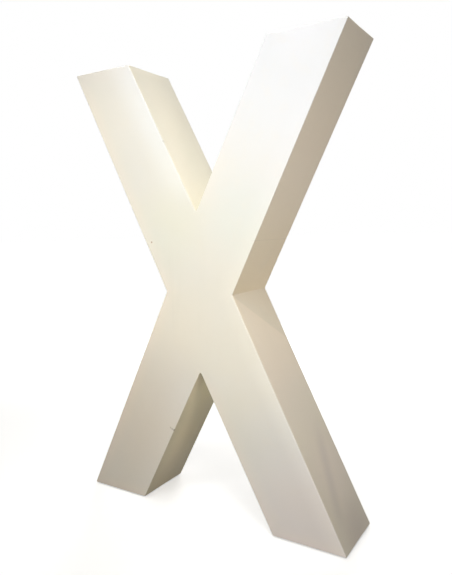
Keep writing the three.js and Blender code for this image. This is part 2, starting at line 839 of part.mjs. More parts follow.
// The lead from the inlet to the driver, with the boot that covers the pins' tabs
function mainsLead() {
  const back = inletEnd - seatGap;
  const slotEnd = back - tabLength;
  const level = slotEnd - bootWall / 2 - mainsLeadRadius;
  const front = level - mainsLeadRadius - bootWall / 2;
  const bootHalf = (pinEarthRise + pinWidth) / 2 + bootWall;
  const bootWidth = 2 * (pinHalfSpacing + bootWall) + pinThickness;
  const boot = block(bootWidth, 2 * bootHalf, front, back, 0, socketMiddle);
  const slots = pins().map(({ x, z }) => {
    return block(pinThickness + 2 * seatGap, pinWidth + 2 * seatGap, slotEnd, back + overrun, x, z);
  });
  const points = [
    new THREE.Vector3(0, level, socketMiddle),
    new THREE.Vector3(0, level, socketMiddle + bootHalf + leadStraight),
    new THREE.Vector3(0, level, inletTop),
    new THREE.Vector3(0, driverLeadLevel, driverBottom - leadStraight),
    new THREE.Vector3(0, driverLeadLevel, driverBottom + driverWall),
  ];
  return join(cut(boot, ...slots), tube(points, mainsLeadRadius));
}

// A lead from the driver's top to the header of an upper bar
function feedLead(limb) {
  const headerLevel = barFront - headerHeight / 2;
  const start = driverTop - driverWall;
  const x = limb.side * driverLeadSpread;
  const end = limbPoint(limb, barStart - seatGap, -barLeadSpread, headerLevel);
  const before = limbPoint(limb, barStart - seatGap - leadStraight, -barLeadSpread, headerLevel);
  return tube(
    [
      new THREE.Vector3(x, driverLeadLevel, start),
      new THREE.Vector3(x, driverLeadLevel, driverTop + leadStraight),
      before,
      end,
    ],
    barLeadRadius,
  );
}

// A lead from the header of an upper bar to that of the bar below it
function linkLead(limb) {
  const headerLevel = barFront - headerHeight / 2;
  const ends = [1, -1].map((up) => ({ side: limb.side, up }));
  const [top, bottom] = ends.map((end) => limbPoint(end, barStart - seatGap, barLeadSpread, headerLevel));
  const [under, over] = ends.map((end) =>
    limbPoint(end, barStart - seatGap - leadStraight, barLeadSpread, headerLevel),
  );
  return tube([top, under, over, bottom], barLeadRadius);
}

// Fuse drawer, fuse and rocker

function fuseDrawer() {
  const frontFace = flangeFace + drawerProud;
  const body = block(drawerWidth, drawerHeight, flangeFace - drawerDepth, frontFace, 0, drawerMiddle);
  const pocketFloor = fuseRise() - fuseRadius - seatGap;
  const pocketTop = drawerMiddle + drawerHeight / 2 + overrun;
  const pocketHalf = fuseRadius + seatGap;
  const pocket = block(
    fuseLength + 2 * seatGap,
    pocketTop - pocketFloor,
    fuseLevel() - pocketHalf,
    fuseLevel() + pocketHalf,
    0,
    (pocketFloor + pocketTop) / 2,
  );
  const drawerBottom = drawerMiddle - drawerHeight / 2;
  const gripBack = flangeFace + drawerGripDepth;
  const grip = block(drawerGripWidth, drawerHeight, flangeFace, gripBack, 0, drawerBottom);
  return cut(body, pocket, grip);
}

function fuseLevel() {
  return flangeFace - drawerFrontThickness - fuseRadius - seatGap;
}

function fuseRise() {
  return drawerMiddle + drawerHeight / 2 - fuseRadius;
}

function fuse() {
  const half = fuseLength / 2;
  const glassEnd = half - fuseCapLength;
  const profile = [
    [0, -half],
    [fuseRadius, -half],
    [fuseRadius, -glassEnd],
    [fuseGlassRadius, -glassEnd],
    [fuseGlassRadius, glassEnd],
    [fuseRadius, glassEnd],
    [fuseRadius, half],
    [0, half],
  ];
  const points = profile.map(([radius, level]) => new THREE.Vector2(radius, level));
  return solid(new THREE.LatheGeometry(points, smallSides).rotateZ(-Math.PI / 2));
}

// The rocker about its pivot, tilted to the off side, so that its lower end is pressed in
function switchRocker() {
  const dip = rockerHalfHeight * Math.tan(tiltRadians);
  const outline = [
    [-rockerHalfHeight, rockerRise],
    [0, rockerRise - dip],
    [rockerHalfHeight, rockerRise],
    [rockerHalfHeight, rockerRise - rockerSkirt],
    [rockerHub, -rockerHub],
    [-rockerHub, -rockerHub],
    [-rockerHalfHeight, rockerRise - rockerSkirt],
  ];
  const shape = new THREE.Shape(outline.map(([z, y]) => new THREE.Vector2(-z, y)));
  const geometry = new THREE.ExtrudeGeometry(shape, { depth: rockerWidth, bevelEnabled: false });
  const body = geometry.translate(0, 0, -rockerWidth / 2).rotateY(Math.PI / 2).rotateX(-tiltRadians);
  const trunnions = rod("x", trunnionRadius, rockerWidth + 2 * trunnionLength, [0, 0, 0]);
  return join(solid(body), trunnions);
}

// Assembly

const letter = new THREE.Group();

letter.add(piece("front_shell", frontShell(), opal));
letter.add(piece("panel_gasket", panelGasket(), foam));
letter.add(piece("back_panel", backPanel(), sheetWhite));

const pad = footPad();
padSpots().forEach(({ name, x, y }) => letter.add(piece("foot_pad_" + name, pad, rubber, [x, y, 0])));

const screw = panScrew(screwRadius, screwLength, screwHeadRadius, screwHeadHeight);
const insert = panelInsert();
corners.forEach((corner, index) => {
  const { x, y: z } = screwSpot(index);
  const number = String(index + 1).padStart(2, "0");
  const plated = [...upperLeftTip, ...upperRightTip].includes(index);
  const seat = panelBack + seatGap + (plated ? hangerThickness + seatGap : 0);
  letter.add(piece("panel_screw_" + number, screw, steel, [x, seat, z]));
  letter.add(piece("panel_insert_" + number, insert, brass, [x, ledgeBack, z]));
});

letter.add(piece("hanger_plate_left", hangerPlate(upperLeftTip), steel));
letter.add(piece("hanger_plate_right", hangerPlate(upperRightTip), steel));

const bar = lightBar();
const lens = lensStrip();
limbs.forEach((limb) => {
  const limbGroup = new THREE.Group();
  const start = limbPoint(limb, barStart, 0, barBack);
  limbGroup.position.copy(start);
  limbGroup.rotation.y = limb.side * (limb.up > 0 ? limbAngle : Math.PI - limbAngle);
  limbGroup.add(piece("light_bar_" + limb.name, bar, boardWhite));
  limbGroup.add(piece("lens_strip_" + limb.name, lens, clearPlastic));
  letter.add(limbGroup);
});

letter.add(piece("driver_base", driverBase(), driverWhite));
letter.add(piece("driver_cover", driverCover(), driverWhite));
letter.add(piece("driver_circuit", driverCircuit(), circuitGreen));
driverScrewSpots().forEach(({ name, x, z }) => {
  letter.add(piece("driver_screw_" + name, screw, steel, [x, panelBack + seatGap, z]));
});

letter.add(piece("inlet_housing", inletHousing(), black));
const pin = inletPin();
pins().forEach(({ name, x, z }) => letter.add(piece("inlet_pin_" + name, pin, brass, [x, 0, z])));
const earScrew = panScrew(earScrewRadius, earScrewLength, earScrewHeadRadius, earScrewHeadHeight);
[-1, 1].forEach((side) => {
  const name = side < 0 ? "left" : "right";
  const spot = [side * earScrewHalf, flangeFace + seatGap, inletMiddle];
  letter.add(piece("inlet_screw_" + name, earScrew, steel, spot));
});
letter.add(piece("fuse_drawer", fuseDrawer(), black));
letter.add(piece("fuse", fuse(), glass, [0, fuseLevel(), fuseRise()]));
letter.add(piece("switch_rocker", switchRocker(), black, [0, rockerPivot, rockerMiddle]));

letter.add(piece("mains_lead", mainsLead(), leadWhite));
letter.add(piece("feed_lead_left", feedLead(limbs[0]), leadWhite));
letter.add(piece("feed_lead_right", feedLead(limbs[1]), leadWhite));
letter.add(piece("link_lead_left", linkLead(limbs[0]), leadWhite));
letter.add(piece("link_lead_right", linkLead(limbs[1]), leadWhite));

export default letter;
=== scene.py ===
"""A free-standing light-up letter X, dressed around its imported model.

The opal shell, the screws, the pads and the switch are surfaces worked out on grids. The other visible
hard parts are copies of their solids with softened edges.
"""

import json
import math

import bmesh
import bpy
import numpy as np
from bpy.props import FloatProperty, FloatVectorProperty, PointerProperty
from bpy.types import Operator, Panel, PropertyGroup
from mathutils import Matrix, Vector


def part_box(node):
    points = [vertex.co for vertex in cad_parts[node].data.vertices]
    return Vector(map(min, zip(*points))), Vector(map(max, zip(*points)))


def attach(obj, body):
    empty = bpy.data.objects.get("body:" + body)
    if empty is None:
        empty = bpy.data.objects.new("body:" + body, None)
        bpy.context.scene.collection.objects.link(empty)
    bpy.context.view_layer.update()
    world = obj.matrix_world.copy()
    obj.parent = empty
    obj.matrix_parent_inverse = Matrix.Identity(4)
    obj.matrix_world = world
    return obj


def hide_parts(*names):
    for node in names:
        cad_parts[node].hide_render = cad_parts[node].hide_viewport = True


bl_info = {
    "name": "Light-up letter",
    "version": (1, 0, 0),
    "blender": (4, 5, 0),
    "location": "View3D > Sidebar > Letter",
    "description": "Builds the surfaces, finishes and studio of a light-up letter X",
    "category": "Object",
}

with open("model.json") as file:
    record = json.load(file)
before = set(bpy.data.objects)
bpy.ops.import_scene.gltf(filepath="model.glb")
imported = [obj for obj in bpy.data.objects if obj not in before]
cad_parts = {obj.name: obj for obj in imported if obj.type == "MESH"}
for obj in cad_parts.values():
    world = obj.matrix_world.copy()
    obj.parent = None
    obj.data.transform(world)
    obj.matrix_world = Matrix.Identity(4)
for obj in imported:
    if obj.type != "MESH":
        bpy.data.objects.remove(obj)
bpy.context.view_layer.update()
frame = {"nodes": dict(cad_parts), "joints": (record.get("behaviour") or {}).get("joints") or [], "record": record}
mm = 0.001

seat_gap = 0.3 * mm
shell_low, shell_high = (Vector(corner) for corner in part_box("front_shell"))
face_level, middle_height = shell_low.y, (shell_low.z + shell_high.z) / 2
ledge_back = Vector(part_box("panel_gasket")[0]).y - seat_gap


def named_nodes(start):
    """The names of the nodes that begin with the given words, in order."""
    return sorted(name for name in frame["nodes"] if name.startswith(start))


def node_box(node):
    """A node's low corner, high corner and middle."""
    low, high = (np.array(corner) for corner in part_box(node))
    return low, high, (low + high) / 2


# Settings


def length(name, description, default):
    """A property that holds a length in metres."""
    return FloatProperty(name=name, description=description, default=default, unit="LENGTH", precision=5)


def share(name, description, default):
    """A property that holds a share from 0 to 1."""
    return FloatProperty(name=name, description=description, default=default, min=0, max=1, subtype="FACTOR")


def colour(name, description, default):
    """A property that holds a linear colour."""
    return FloatVectorProperty(
        name=name, description=description, default=default, min=0, max=1, subtype="COLOR"
    )


class LetterOutlineSettings(PropertyGroup):
    """Sizes of the letter's outline and of its moulded shell."""

    tip_outer_half: length("Tip outer half", "From the middle line to a tip's outer corner", 333 * mm)
    tip_inner_half: length("Tip inner half", "From the middle line to a tip's inner corner", 172 * mm)
    waist_half: length("Waist half", "From the middle line to a side crotch", 85 * mm)
    waist_height: length("Waist height", "From the lower crotch to the upper crotch", 344 * mm)
    tip_radius: length("Tip corner", "Radius of the outline's corners at the tips", 2 * mm)
    crotch_radius: length("Crotch corner", "Radius of the outline in the crotches", 3 * mm)
    edge_radius: length("Face edge", "Radius between the face and the side walls", 1.5 * mm)
    rim_radius: length("Rim edge", "Radius of the rear rim's outer edge", 1.2 * mm)
    inside_radius: length("Inside corner", "Radius inside the shell's corners", 3 * mm)
    wall: length("Wall", "Thickness of the moulded wall", 4.5 * mm)
    ledge_width: length("Ledge width", "Width of the ledge that carries the panel", 16 * mm)
    ledge_thickness: length("Ledge thickness", "Thickness of that ledge", 4.5 * mm)
    sag: length("Sag", "How far the flat walls sink in as the moulding cools", 0.5 * mm)


class LetterFinishSettings(PropertyGroup):
    """Colours and gloss of the visible finishes."""

    opal: colour("Opal", "Moulded shell", (0.87, 0.848, 0.76))
    opal_aged: colour("Aged opal", "Clouds of warmer plastic in the shell", (0.885, 0.845, 0.7))
    # Painted sheen on the upper right and the lower right of the face.
    opal_painted_sheen: colour("Bleached opal", "Shell where it has faded", (0.855, 0.867, 0.883))
    # Duller plastic in random clouds, and painted shade on the lower left of the face.
    opal_dull_and_shade: colour("Dull opal", "Shell where it has greyed", (0.88, 0.81, 0.68))
    # Painted shade: the side walls are a yellower copy of the face's plastic.
    opal_shaded_walls: colour("Opal walls", "Side walls of the shell", (0.885, 0.83, 0.7))
    opal_roughness: share("Opal roughness", "Roughness of the moulded shell", 0.48)
    sheet: colour("Panel sheet", "Back panel", (0.78, 0.75, 0.68))
    black: colour("Black plastic", "Inlet, drawer and rocker", (0.018, 0.018, 0.019))
    zinc: colour("Zinc plate", "Screws and hanger plates", (0.5, 0.51, 0.52))
    rubber: colour("Rubber", "Foot pads", (0.03, 0.03, 0.031))


class LetterStudioSettings(PropertyGroup):
    """Lamps, floor and world of the studio."""

    lamp_level: FloatProperty(name="Lamps", description="All lamps, 1 as built", default=1, min=0, max=4)
    sky: share("Sky", "Brightness of the studio round the object", 0.042)
    sky_tone: colour("Sky tone", "Colour of that light", (1, 0.92, 0.82))
    floor: colour("Floor", "Colour of the floor", (0.9, 0.9, 0.9))
    floor_bounce: colour("Floor bounce", "Colour of the light that the floor throws back", (0.17, 0.15, 0.12))


# Lamps: name, place, where each looks, width, spread in degrees, watts and colour.

LAMPS = (
    ("key_right", (1.2, -1.2, 1.5), (0.1, 0, 0.76), 0.4, 60, 0.88, (1, 1, 0.98)),
    ("key_left", (-0.5, -1.6, 1.4), (-0.05, 0, 0.66), 0.4, 50, 0.97, (1, 1, 1)),
    ("key_up", (0.5, -1.0, 2.0), (0.08, 0, 0.8), 0.5, 60, 0.95, (0.9, 0.95, 1)),
    ("overhead", (0.1, -0.3, 2.2), (0, 0, 0.75), 0.8, 180, 10, (1, 0.97, 0.88)),
    ("low_right", (1.3, -0.55, 0.45), (0.1, 0, 0.55), 0.5, 60, 0.82, (1, 0.84, 0.7)),
    ("low_front", (0.6, -1.6, 0.4), (0.1, 0, 0.4), 0.6, 180, 8.8, (0.98, 0.98, 1)),
    ("back_fill", (-0.7, 1.8, 1.3), (0, 0, 0.5), 1.0, 180, 25, (1, 0.99, 0.97)),
    ("low_back", (0.5, 1.5, 0.25), (-0.04, 0.05, 0.25), 0.25, 16, 0.066, (1, 1, 0.92)),
)


# Surfaces on grids


def linked_object(data):
    """An object of a mesh, lamp or camera, under the same name, in the scene."""
    made = bpy.data.objects.new(data.name, data)
    bpy.context.scene.collection.objects.link(made)
    return made


def shaped_object(mesh, shape, finish):
    """An object of a mesh that takes over a bmesh, shaded smooth, with its faces turned outwards."""
    bmesh.ops.recalc_face_normals(shape, faces=shape.faces)
    shape.to_mesh(mesh)
    shape.free()
    mesh.shade_smooth()
    mesh.materials.append(finish)
    return linked_object(mesh)


def surface_piece(name, finish, grids):
    """A mesh object of grids of points, rows by columns by 3, with a quad between every four neighbours.

    Corners in one place are merged, and flat leftovers go.
    """
    merge, count, points, quads = 0.0001 * mm, 0, [], []
    for grid in grids:
        index = np.arange(count, count + grid.size // 3).reshape(grid.shape[:2])
        corners = [index[:-1, :-1], index[:-1, 1:], index[1:, 1:], index[1:, :-1]]
        quads.append(np.stack(corners, axis=-1).reshape(-1, 4))
        points.append(grid.reshape(-1, 3))
        count += index.size
    mesh = bpy.data.meshes.new(name)
    mesh.from_pydata(np.concatenate(points), [], np.concatenate(quads))
    shape = bmesh.new()
    shape.from_mesh(mesh)
    bmesh.ops.remove_doubles(shape, verts=shape.verts, dist=merge)
    bmesh.ops.dissolve_degenerate(shape, dist=merge, edges=shape.edges)
    return shaped_object(mesh, shape, finish)


def full_round(sides):
    """Cosines and sines of so many angles in a full turn, with the first again at the end."""
    angle = np.arange(sides + 1) % sides * 2 * math.pi / sides
    return np.cos(angle), np.sin(angle)


def turned(profile, centre, sides, axis="y"):
    """A profile of radius and level turned about an axis through the centre.

    A point is the centre plus radius times (cosine, sine) across the axis, plus the level along it.
    """
    profile = np.asarray(profile, dtype=float)
    across, over = (profile[:, :1] * part for part in full_round(sides))
    along = np.broadcast_to(profile[:, 1:], across.shape)
    order = (across, along, over) if axis == "y" else (across, over, along)
    return np.stack(order, axis=-1) + centre


def arc(centre, radius, start, end, steps):
    """Points of an arc of a profile, from one angle in degrees to another."""
    angle = np.radians(np.linspace(start, end, steps + 1))
    return np.stack([np.cos(angle), np.sin(angle)], axis=-1) * radius + centre


def smooth_step(value):
    """0 below 0, 1 above 1, and a smooth S between: three times its square less twice its cube."""
    held = np.clip(value, 0, 1)
    return held * held * (3 - 2 * held)


# The letter's outline


class Outline:
    """The letter's outline at any inset, with the same count of points whatever the inset."""

    arc_steps, long_steps, tip_steps = 8, 60, 20
    crotches, tips = (1, 4, 7, 10), (2, 5, 8, 11)

    def __init__(self, sizes):
        self.sizes = sizes
        low, high, middle = shell_low.z, shell_high.z, middle_height
        outer, inner, waist = sizes.tip_outer_half, sizes.tip_inner_half, sizes.waist_half
        rise = sizes.waist_height / 2
        left = [(-outer, high), (-waist, middle), (-outer, low), (-inner, low), (0, middle - rise)]
        right = [(inner, low), (outer, low), (waist, middle), (outer, high), (inner, high)]
        self.corners = np.array(left + right + [(0, middle + rise), (-inner, high)])
        edges = self.corners - np.roll(self.corners, 1, axis=0)
        into = edges / np.linalg.norm(edges, axis=1, keepdims=True)
        out = np.roll(into, -1, axis=0)
        crossed = into[:, 0] * out[:, 1] - into[:, 1] * out[:, 0]
        self.turn = np.arctan2(crossed, (into * out).sum(axis=1))
        self.inward = np.stack([-into[:, 1], into[:, 0]], axis=1)
        after = np.roll(self.inward, -1, axis=0)
        self.mitre = (self.inward + after) / (1 + (self.inward * after).sum(axis=1, keepdims=True))

    def corner_arcs(self, inset, shares):
        """Points on every corner's arc: its centre plus the radius along a spoke that turns with the share.

        The centre lies on the corner's mitre line, and the spoke starts square to the edge before.
        """
        convex = self.turn > 0
        tip_radius = self.sizes.tip_radius if inset < self.sizes.wall else self.sizes.inside_radius
        radius = np.where(convex, tip_radius, self.sizes.crotch_radius + inset)
        side = np.where(convex, -1.0, 1.0)
        centre = self.corners + self.mitre * (inset - side * radius)[:, None]
        angle = self.turn[:, None] * shares
        cos, sin = np.cos(angle), np.sin(angle)
        spoke_x = self.inward[:, :1] * cos - self.inward[:, 1:] * sin
        spoke_z = self.inward[:, :1] * sin + self.inward[:, 1:] * cos
        reach = (side * radius)[:, None, None]
        return centre[:, None] + reach * np.stack([spoke_x, spoke_z], axis=-1)

    def edges(self, inset):
        """A run of points for each edge, from the middle of a corner's arc to just before the next one's."""
        arcs = self.corner_arcs(inset, np.linspace(0, 1, 2 * self.arc_steps + 1))
        runs = []
        for index in range(len(self.corners)):
            leaving = arcs[index, self.arc_steps:]
            entering = arcs[(index + 1) % len(self.corners), :self.arc_steps]
            steps = self.tip_steps if index in self.tips else self.long_steps
            along = np.linspace(0, 1, steps + 1)[1:-1, None]
            straight = leaving[-1] * (1 - along) + entering[0] * along
            runs.append(np.concatenate([leaving, straight, entering]))
        return runs

    def ring(self, inset):
        """All the outline's points at an inset, with the first again at the end."""
        runs = self.edges(inset)
        return np.concatenate([*runs, runs[0][:1]])

    def distance(self, points):
        """How far points lie from the nearest edge of the sharp outline."""
        start = self.corners[:, None]
        along = np.roll(start, -1, axis=0) - start
        offset = points - start
        part = np.clip((offset * along).sum(-1) / (along * along).sum(-1), 0, 1)[..., None]
        return np.linalg.norm(offset - part * along, axis=-1).min(axis=0)


def patch(left, right, tip, base):
    """A patch stretched over four runs of points, which blends opposite runs and takes off the corners.

    left and right run from the base to the tip, and base and tip from left to right.
    """
    along = np.linspace(0, 1, len(left))[:, None, None]
    across = np.linspace(0, 1, len(tip))[:, None]
    sides = left[:, None] * (1 - across) + right[:, None] * across
    ends = base * (1 - along) + tip * along
    low = base[0] * (1 - across) + base[-1] * across
    high = tip[0] * (1 - across) + tip[-1] * across
    return sides + ends - low * (1 - along) - high * along


def face_patches(outline, inset):
    """The face inside an inset as five patches: one for each limb and one where they cross."""
    runs, patches, bases = outline.edges(inset), [], []
    for crotch in outline.crotches:
        leaving, tip, back = (runs[(crotch + step) % 12] for step in range(3))
        closing = runs[(crotch + 3) % 12][:1]
        left = np.concatenate([leaving, tip[:1]])
        top = np.concatenate([tip, back[:1]])
        right = np.concatenate([back, closing])[::-1]
        across = np.linspace(0, 1, len(top))[:, None]
        base = left[:1] * (1 - across) + right[:1] * across
        patches.append(patch(left, right, top, base))
        bases.append(base)
    patches.append(patch(bases[0], bases[2][::-1], bases[1], bases[3][::-1]))
    return patches


# The waves of the walls' sag: how fast each turns along x and z, in radians per metre, and where it starts.

SAG_WAVES = ((23, 9, 0), (-11, 17, 1.3), (6, -13, 2.1))


def sag_pattern(x, z):
    """Slow waves over the walls, from 0 to 1: half of one more than the mean of the slanted sines."""
    waves = sum(np.sin(along_x * x + along_z * z + start) for along_x, along_z, start in SAG_WAVES)
    return 0.5 + waves / (2 * len(SAG_WAVES))


def shell_profile(sizes):
    """Inset and level of each ring of the shell, from its face round the rim to its hollow's floor."""
    face, rim = face_level, shell_high.y
    edge, rim_edge, wall = sizes.edge_radius, sizes.rim_radius, sizes.wall
    ease, sharp = 0.8 * mm, 0.4 * mm
    side_rings, edge_steps, rim_steps, floor_steps = 16, 7, 4, 4
    ledge_front = ledge_back - sizes.ledge_thickness
    ledge_inner = wall + sizes.ledge_width
    side = np.linspace(face + edge + ease, rim - rim_edge - ease, side_rings)
    inside = sizes.inside_radius
    return np.concatenate([
        [(edge + ease, face)],
        arc((edge, face + edge), edge, 270, 180, edge_steps),
        np.stack([np.zeros_like(side), side], axis=-1),
        arc((rim_edge, rim - rim_edge), rim_edge, 180, 90, rim_steps),
        [(wall - sharp, rim), (wall, rim - sharp)],
        [(wall, ledge_back + ease), (wall + ease, ledge_back)],
        [(ledge_inner - sharp, ledge_back), (ledge_inner, ledge_back - sharp)],
        [(ledge_inner, ledge_front + sharp), (ledge_inner - sharp, ledge_front)],
        [(wall + ease, ledge_front), (wall, ledge_front - ease)],
        arc((wall + inside, face + wall + inside), inside, 180, 270, floor_steps),
    ])


def sunk_ring(outline, inset, level, depth):
    """A ring of the side wall, moved inwards by the sag times a bow that is nothing at the wall's edges."""
    ring = outline.ring(inset)
    inward = (outline.ring(inset + mm) - ring) / mm
    bow = np.sin(math.pi * np.clip((level - face_level) / (shell_high.y - face_level), 0, 1)) ** 2
    sag = depth * bow * sag_pattern(ring[:, 0] + level, ring[:, 1])
    ring = ring + inward * sag[:, None]
    return np.stack([ring[:, 0], np.full(len(ring), level), ring[:, 1]], axis=-1)


def boss(node, ledge_thickness):
    """A round boss under the ledge, turned about the axis of the insert that it holds."""
    low, _, middle = node_box(node)
    radius, floor_thickness, round_off, sides = 7 * mm, 2 * mm, 0.8 * mm, 40
    floor = low[1] - floor_thickness
    end = arc((radius - round_off, floor + round_off), round_off, 270, 360, 4)
    buried = ledge_back - ledge_thickness / 2
    return turned(np.vstack([(0, floor), end, (radius, buried), (0, buried)]), middle * (1, 0, 1), sides)


def shell_grids(sizes):
    """The shell: rings round the wall, a face and a hollow's floor in patches, and a boss at each corner."""
    outline, profile, sag_fade = Outline(sizes), shell_profile(sizes), 25 * mm
    depths = np.where(profile[:, 0] == 0, sizes.sag, 0)
    rings = [sunk_ring(outline, inset, level, depth) for (inset, level), depth in zip(profile, depths)]
    grids = [np.stack(rings)]
    for (inset, level), sag in ((profile[0], sizes.sag), (profile[-1], 0)):
        border = outline.distance(outline.ring(inset)).max()
        for flat in face_patches(outline, inset):
            points = flat.reshape(-1, 2)
            room = outline.distance(points) - border
            depth = sag * smooth_step(room / sag_fade) * sag_pattern(points[:, 0], points[:, 1])
            grid = np.stack([points[:, 0], level + depth, points[:, 1]], axis=-1)
            grids.append(grid.reshape(*flat.shape[:2], 3))
    return grids + [boss(node, sizes.ledge_thickness) for node in named_nodes("panel_insert")]


# Shaders


class Field:
    """A shader value that varies over a surface. Arithmetic on it adds Math nodes."""

    def __init__(self, finish, socket):
        self.finish = finish
        self.socket = socket

    def math(self, operation, *values):
        """A Math node on the given values."""
        return self.finish.node("ShaderNodeMath", {"operation": operation}, dict(enumerate(values)))

    def __add__(self, other):
        return self.math("ADD", self, other)

    __radd__ = __add__

    def __sub__(self, other):
        return self.math("SUBTRACT", self, other)

    def __rsub__(self, other):
        return self.math("SUBTRACT", other, self)

    def __mul__(self, other):
        return self.math("MULTIPLY", self, other)

    __rmul__ = __mul__

    def __abs__(self):
        return self.math("ABSOLUTE", self)

    def larger(self, other):
        """The larger of this value and another."""
        return self.math("MAXIMUM", self, other)

    def band(self, low, high):
        """0 below low, 1 above high, and a smooth S between."""
        values = {"Value": self, "From Min": low, "From Max": high}
        return self.finish.node("ShaderNodeMapRange", {"interpolation_type": "SMOOTHSTEP"}, values)


class Finish:
    """A material, or the world, in the making."""

    def __init__(self, name, world=None):
        self.material = world or bpy.data.materials.new(name)
        self.material.use_nodes = True
        self.tree = self.material.node_tree
        self.shader = self.tree.nodes["Background" if world else "Principled BSDF"]

    def node(self, kind, settings, inputs, output=0):
        """Adds a node: its settings are set first, then each input is linked or given its value."""
        node = self.tree.nodes.new(kind)
        for name, value in settings.items():
            setattr(node, name, value)
        for key, value in inputs.items():
            self.feed(node.inputs[key], value)
        return Field(self, node.outputs[output])

    def feed(self, socket, value):
        """Links a field to a socket, or sets the socket's own value."""
        if isinstance(value, Field):
            self.tree.links.new(value.socket, socket)
        elif socket.type == "RGBA":
            socket.default_value = (*value[:3], 1)
        else:
            socket.default_value = value

    def surface(self, **inputs):
        """Feeds the shader: base_color=..., roughness=..., and so on."""
        for name, value in inputs.items():
            self.feed(self.shader.inputs[name.replace("_", " ").title().replace("Ior", "IOR")], value)
        return self.material

    def seen_or_mirrored(self):
        """1 for the camera's own rays and for those that a gloss or a clear body sends on, otherwise 0."""
        kinds = ("Is Camera Ray", "Is Glossy Ray", "Is Transmission Ray")
        own, mirrored, through = (self.node("ShaderNodeLightPath", {}, {}, kind) for kind in kinds)
        return own.larger(mirrored).larger(through)

    def place(self, kind="Object"):
        """The surface's own place in metres, or its normal."""
        return self.node("ShaderNodeTexCoord", {}, {}, kind)

    def parts(self, kind="Object"):
        """The three numbers of the surface's place or normal."""
        vector = self.place(kind)
        return [self.node("ShaderNodeSeparateXYZ", {}, {0: vector}, axis) for axis in "XYZ"]

    def pattern(self, kind, settings, stretch, **values):
        """A pattern on the surface's own place, drawn out where the stretch is small."""
        moved = self.node("ShaderNodeMapping", {}, {"Vector": self.place(), "Scale": stretch})
        return self.node(kind, settings, {"Vector": moved, **values})

    def noise(self, scale, detail=3.0, roughness=0.5, distortion=0.0, stretch=(1, 1, 1)):
        """Cloudy noise with about so many clouds to a metre."""
        values = {"Scale": scale, "Detail": detail, "Roughness": roughness, "Distortion": distortion}
        return self.pattern("ShaderNodeTexNoise", {}, stretch, **values)

    def cells(self, scale, feature="F1", randomness=1.0, stretch=(1, 1, 1)):
        """Distance in a scatter of cells with about so many to a metre."""
        kind, settings = "ShaderNodeTexVoronoi", {"feature": feature}
        return self.pattern(kind, settings, stretch, Scale=scale, Randomness=randomness)

    def vectors(self, operation, *values, output="Value"):
        """A Vector Math node on the given values."""
        return self.node("ShaderNodeVectorMath", {"operation": operation}, dict(enumerate(values)), output)

    def spot(self, centre, radius, softness=0.5):
        """1 inside a ball about a centre, fading to 0 at its edge."""
        away = self.vectors("DISTANCE", self.place(), centre)
        return 1 - away.band(radius * (1 - softness), radius)

    def tint(self, mask, first, second):
        """The first colour where the mask is 0 and the second where it is 1."""
        return self.node("ShaderNodeMix", {"data_type": "RGBA"}, {0: mask, 6: first, 7: second}, 2)

    def stain(self, tone, mask, cast):
        """The tone where the mask is 0, and the tone times a cast of colour where it is 1."""
        return self.vectors("MULTIPLY", tone, self.tint(mask, (1, 1, 1), cast), output="Vector")

    def relief(self, height, depth, strength):
        """A bump from a height from 0 to 1 that is so many metres deep."""
        return self.node("ShaderNodeBump", {}, {"Height": height, "Distance": depth, "Strength": strength})

    def textured(self, tone, roughness, height, depth, strength, **more):
        """A surface with a colour, a roughness and a relief."""
        normal = self.relief(height, depth, strength)
        return self.surface(base_color=tone, roughness=roughness, normal=normal, **more)


def shade(tone, amount):
    """A colour times an amount, or each of its parts times its own."""
    return tuple(np.array(tone) * amount)


def paint_light_and_shade(finish, tone, patches):
    """The tone under a table of soft patches of painted light and shade, each with its own cast."""
    softness = 0.9
    for place, radius, cast in patches.values():
        tone = finish.stain(tone, finish.spot(place, radius, softness), cast)
    return tone


# Patches of painted light and shade on the shell: the place, the radius and the cast of each.

FACE_LIGHT_AND_SHADE = {
    "above the crossing, left": ((-0.07, face_level, 0.64), 0.13, (0.985, 1, 0.955)),
    "above the crossing, right": ((0.11, face_level, 0.66), 0.13, (0.965, 1, 1)),
    "crossing, left": ((-0.07, face_level, 0.42), 0.15, (1.06, 1.035, 1)),
    "low, left": ((-0.15, face_level, 0.22), 0.24, (1, 0.965, 0.93)),
    "low, right": ((0.24, face_level, 0.05), 0.2, (1.04, 0.985, 0.98)),
    "below the crossing, right": ((0.1, face_level, 0.36), 0.2, (1.06, 1.05, 1.02)),
    "upper left tip": ((-0.24, face_level, 0.95), 0.22, (1.09, 1.07, 1.045)),
    "upper right tip": ((0.25, face_level, 1.02), 0.11, (1.07, 1.06, 1.07)),
}
WALL_LIGHT_AND_SHADE = {
    "upper right, near the tip": ((0.3, 0, 0.93), 0.35, (1.08, 1.06, 1.06)),
    "upper left, rear edge": ((-0.1, 0.06, 0.87), 0.16, (1.1, 1.08, 1.05)),
    "lower right, rear edge": ((0.12, 0.06, 0.44), 0.15, (1.06, 1.055, 1.05)),
    "lower right, front edge": ((0.17, -0.06, 0.32), 0.16, (0.94, 0.93, 0.95)),
    "lower right, lower down": ((0.27, 0.03, 0.13), 0.12, (1.07, 1.05, 1.09)),
    "lower right, at the tip": ((0.325, 0.01, 0.02), 0.08, (0.86, 0.84, 0.87)),
    "lower crotch": ((-0.02, 0.01, 0.29), 0.12, (1.2, 1.18, 1.1)),
    "lower left, rear edge": ((-0.085, 0.05, 0.17), 0.15, (1.01, 0.97, 0.88)),
    "lower left, at the tip": ((-0.16, 0, 0.01), 0.2, (0.88, 0.86, 0.83)),
}

# Small marks on the shell: a speck left of the crossing, a scratch on the lower left limb and a knock on the
# upper left limb's edge. Each has its place, its radius, how strongly it shows and its colour.

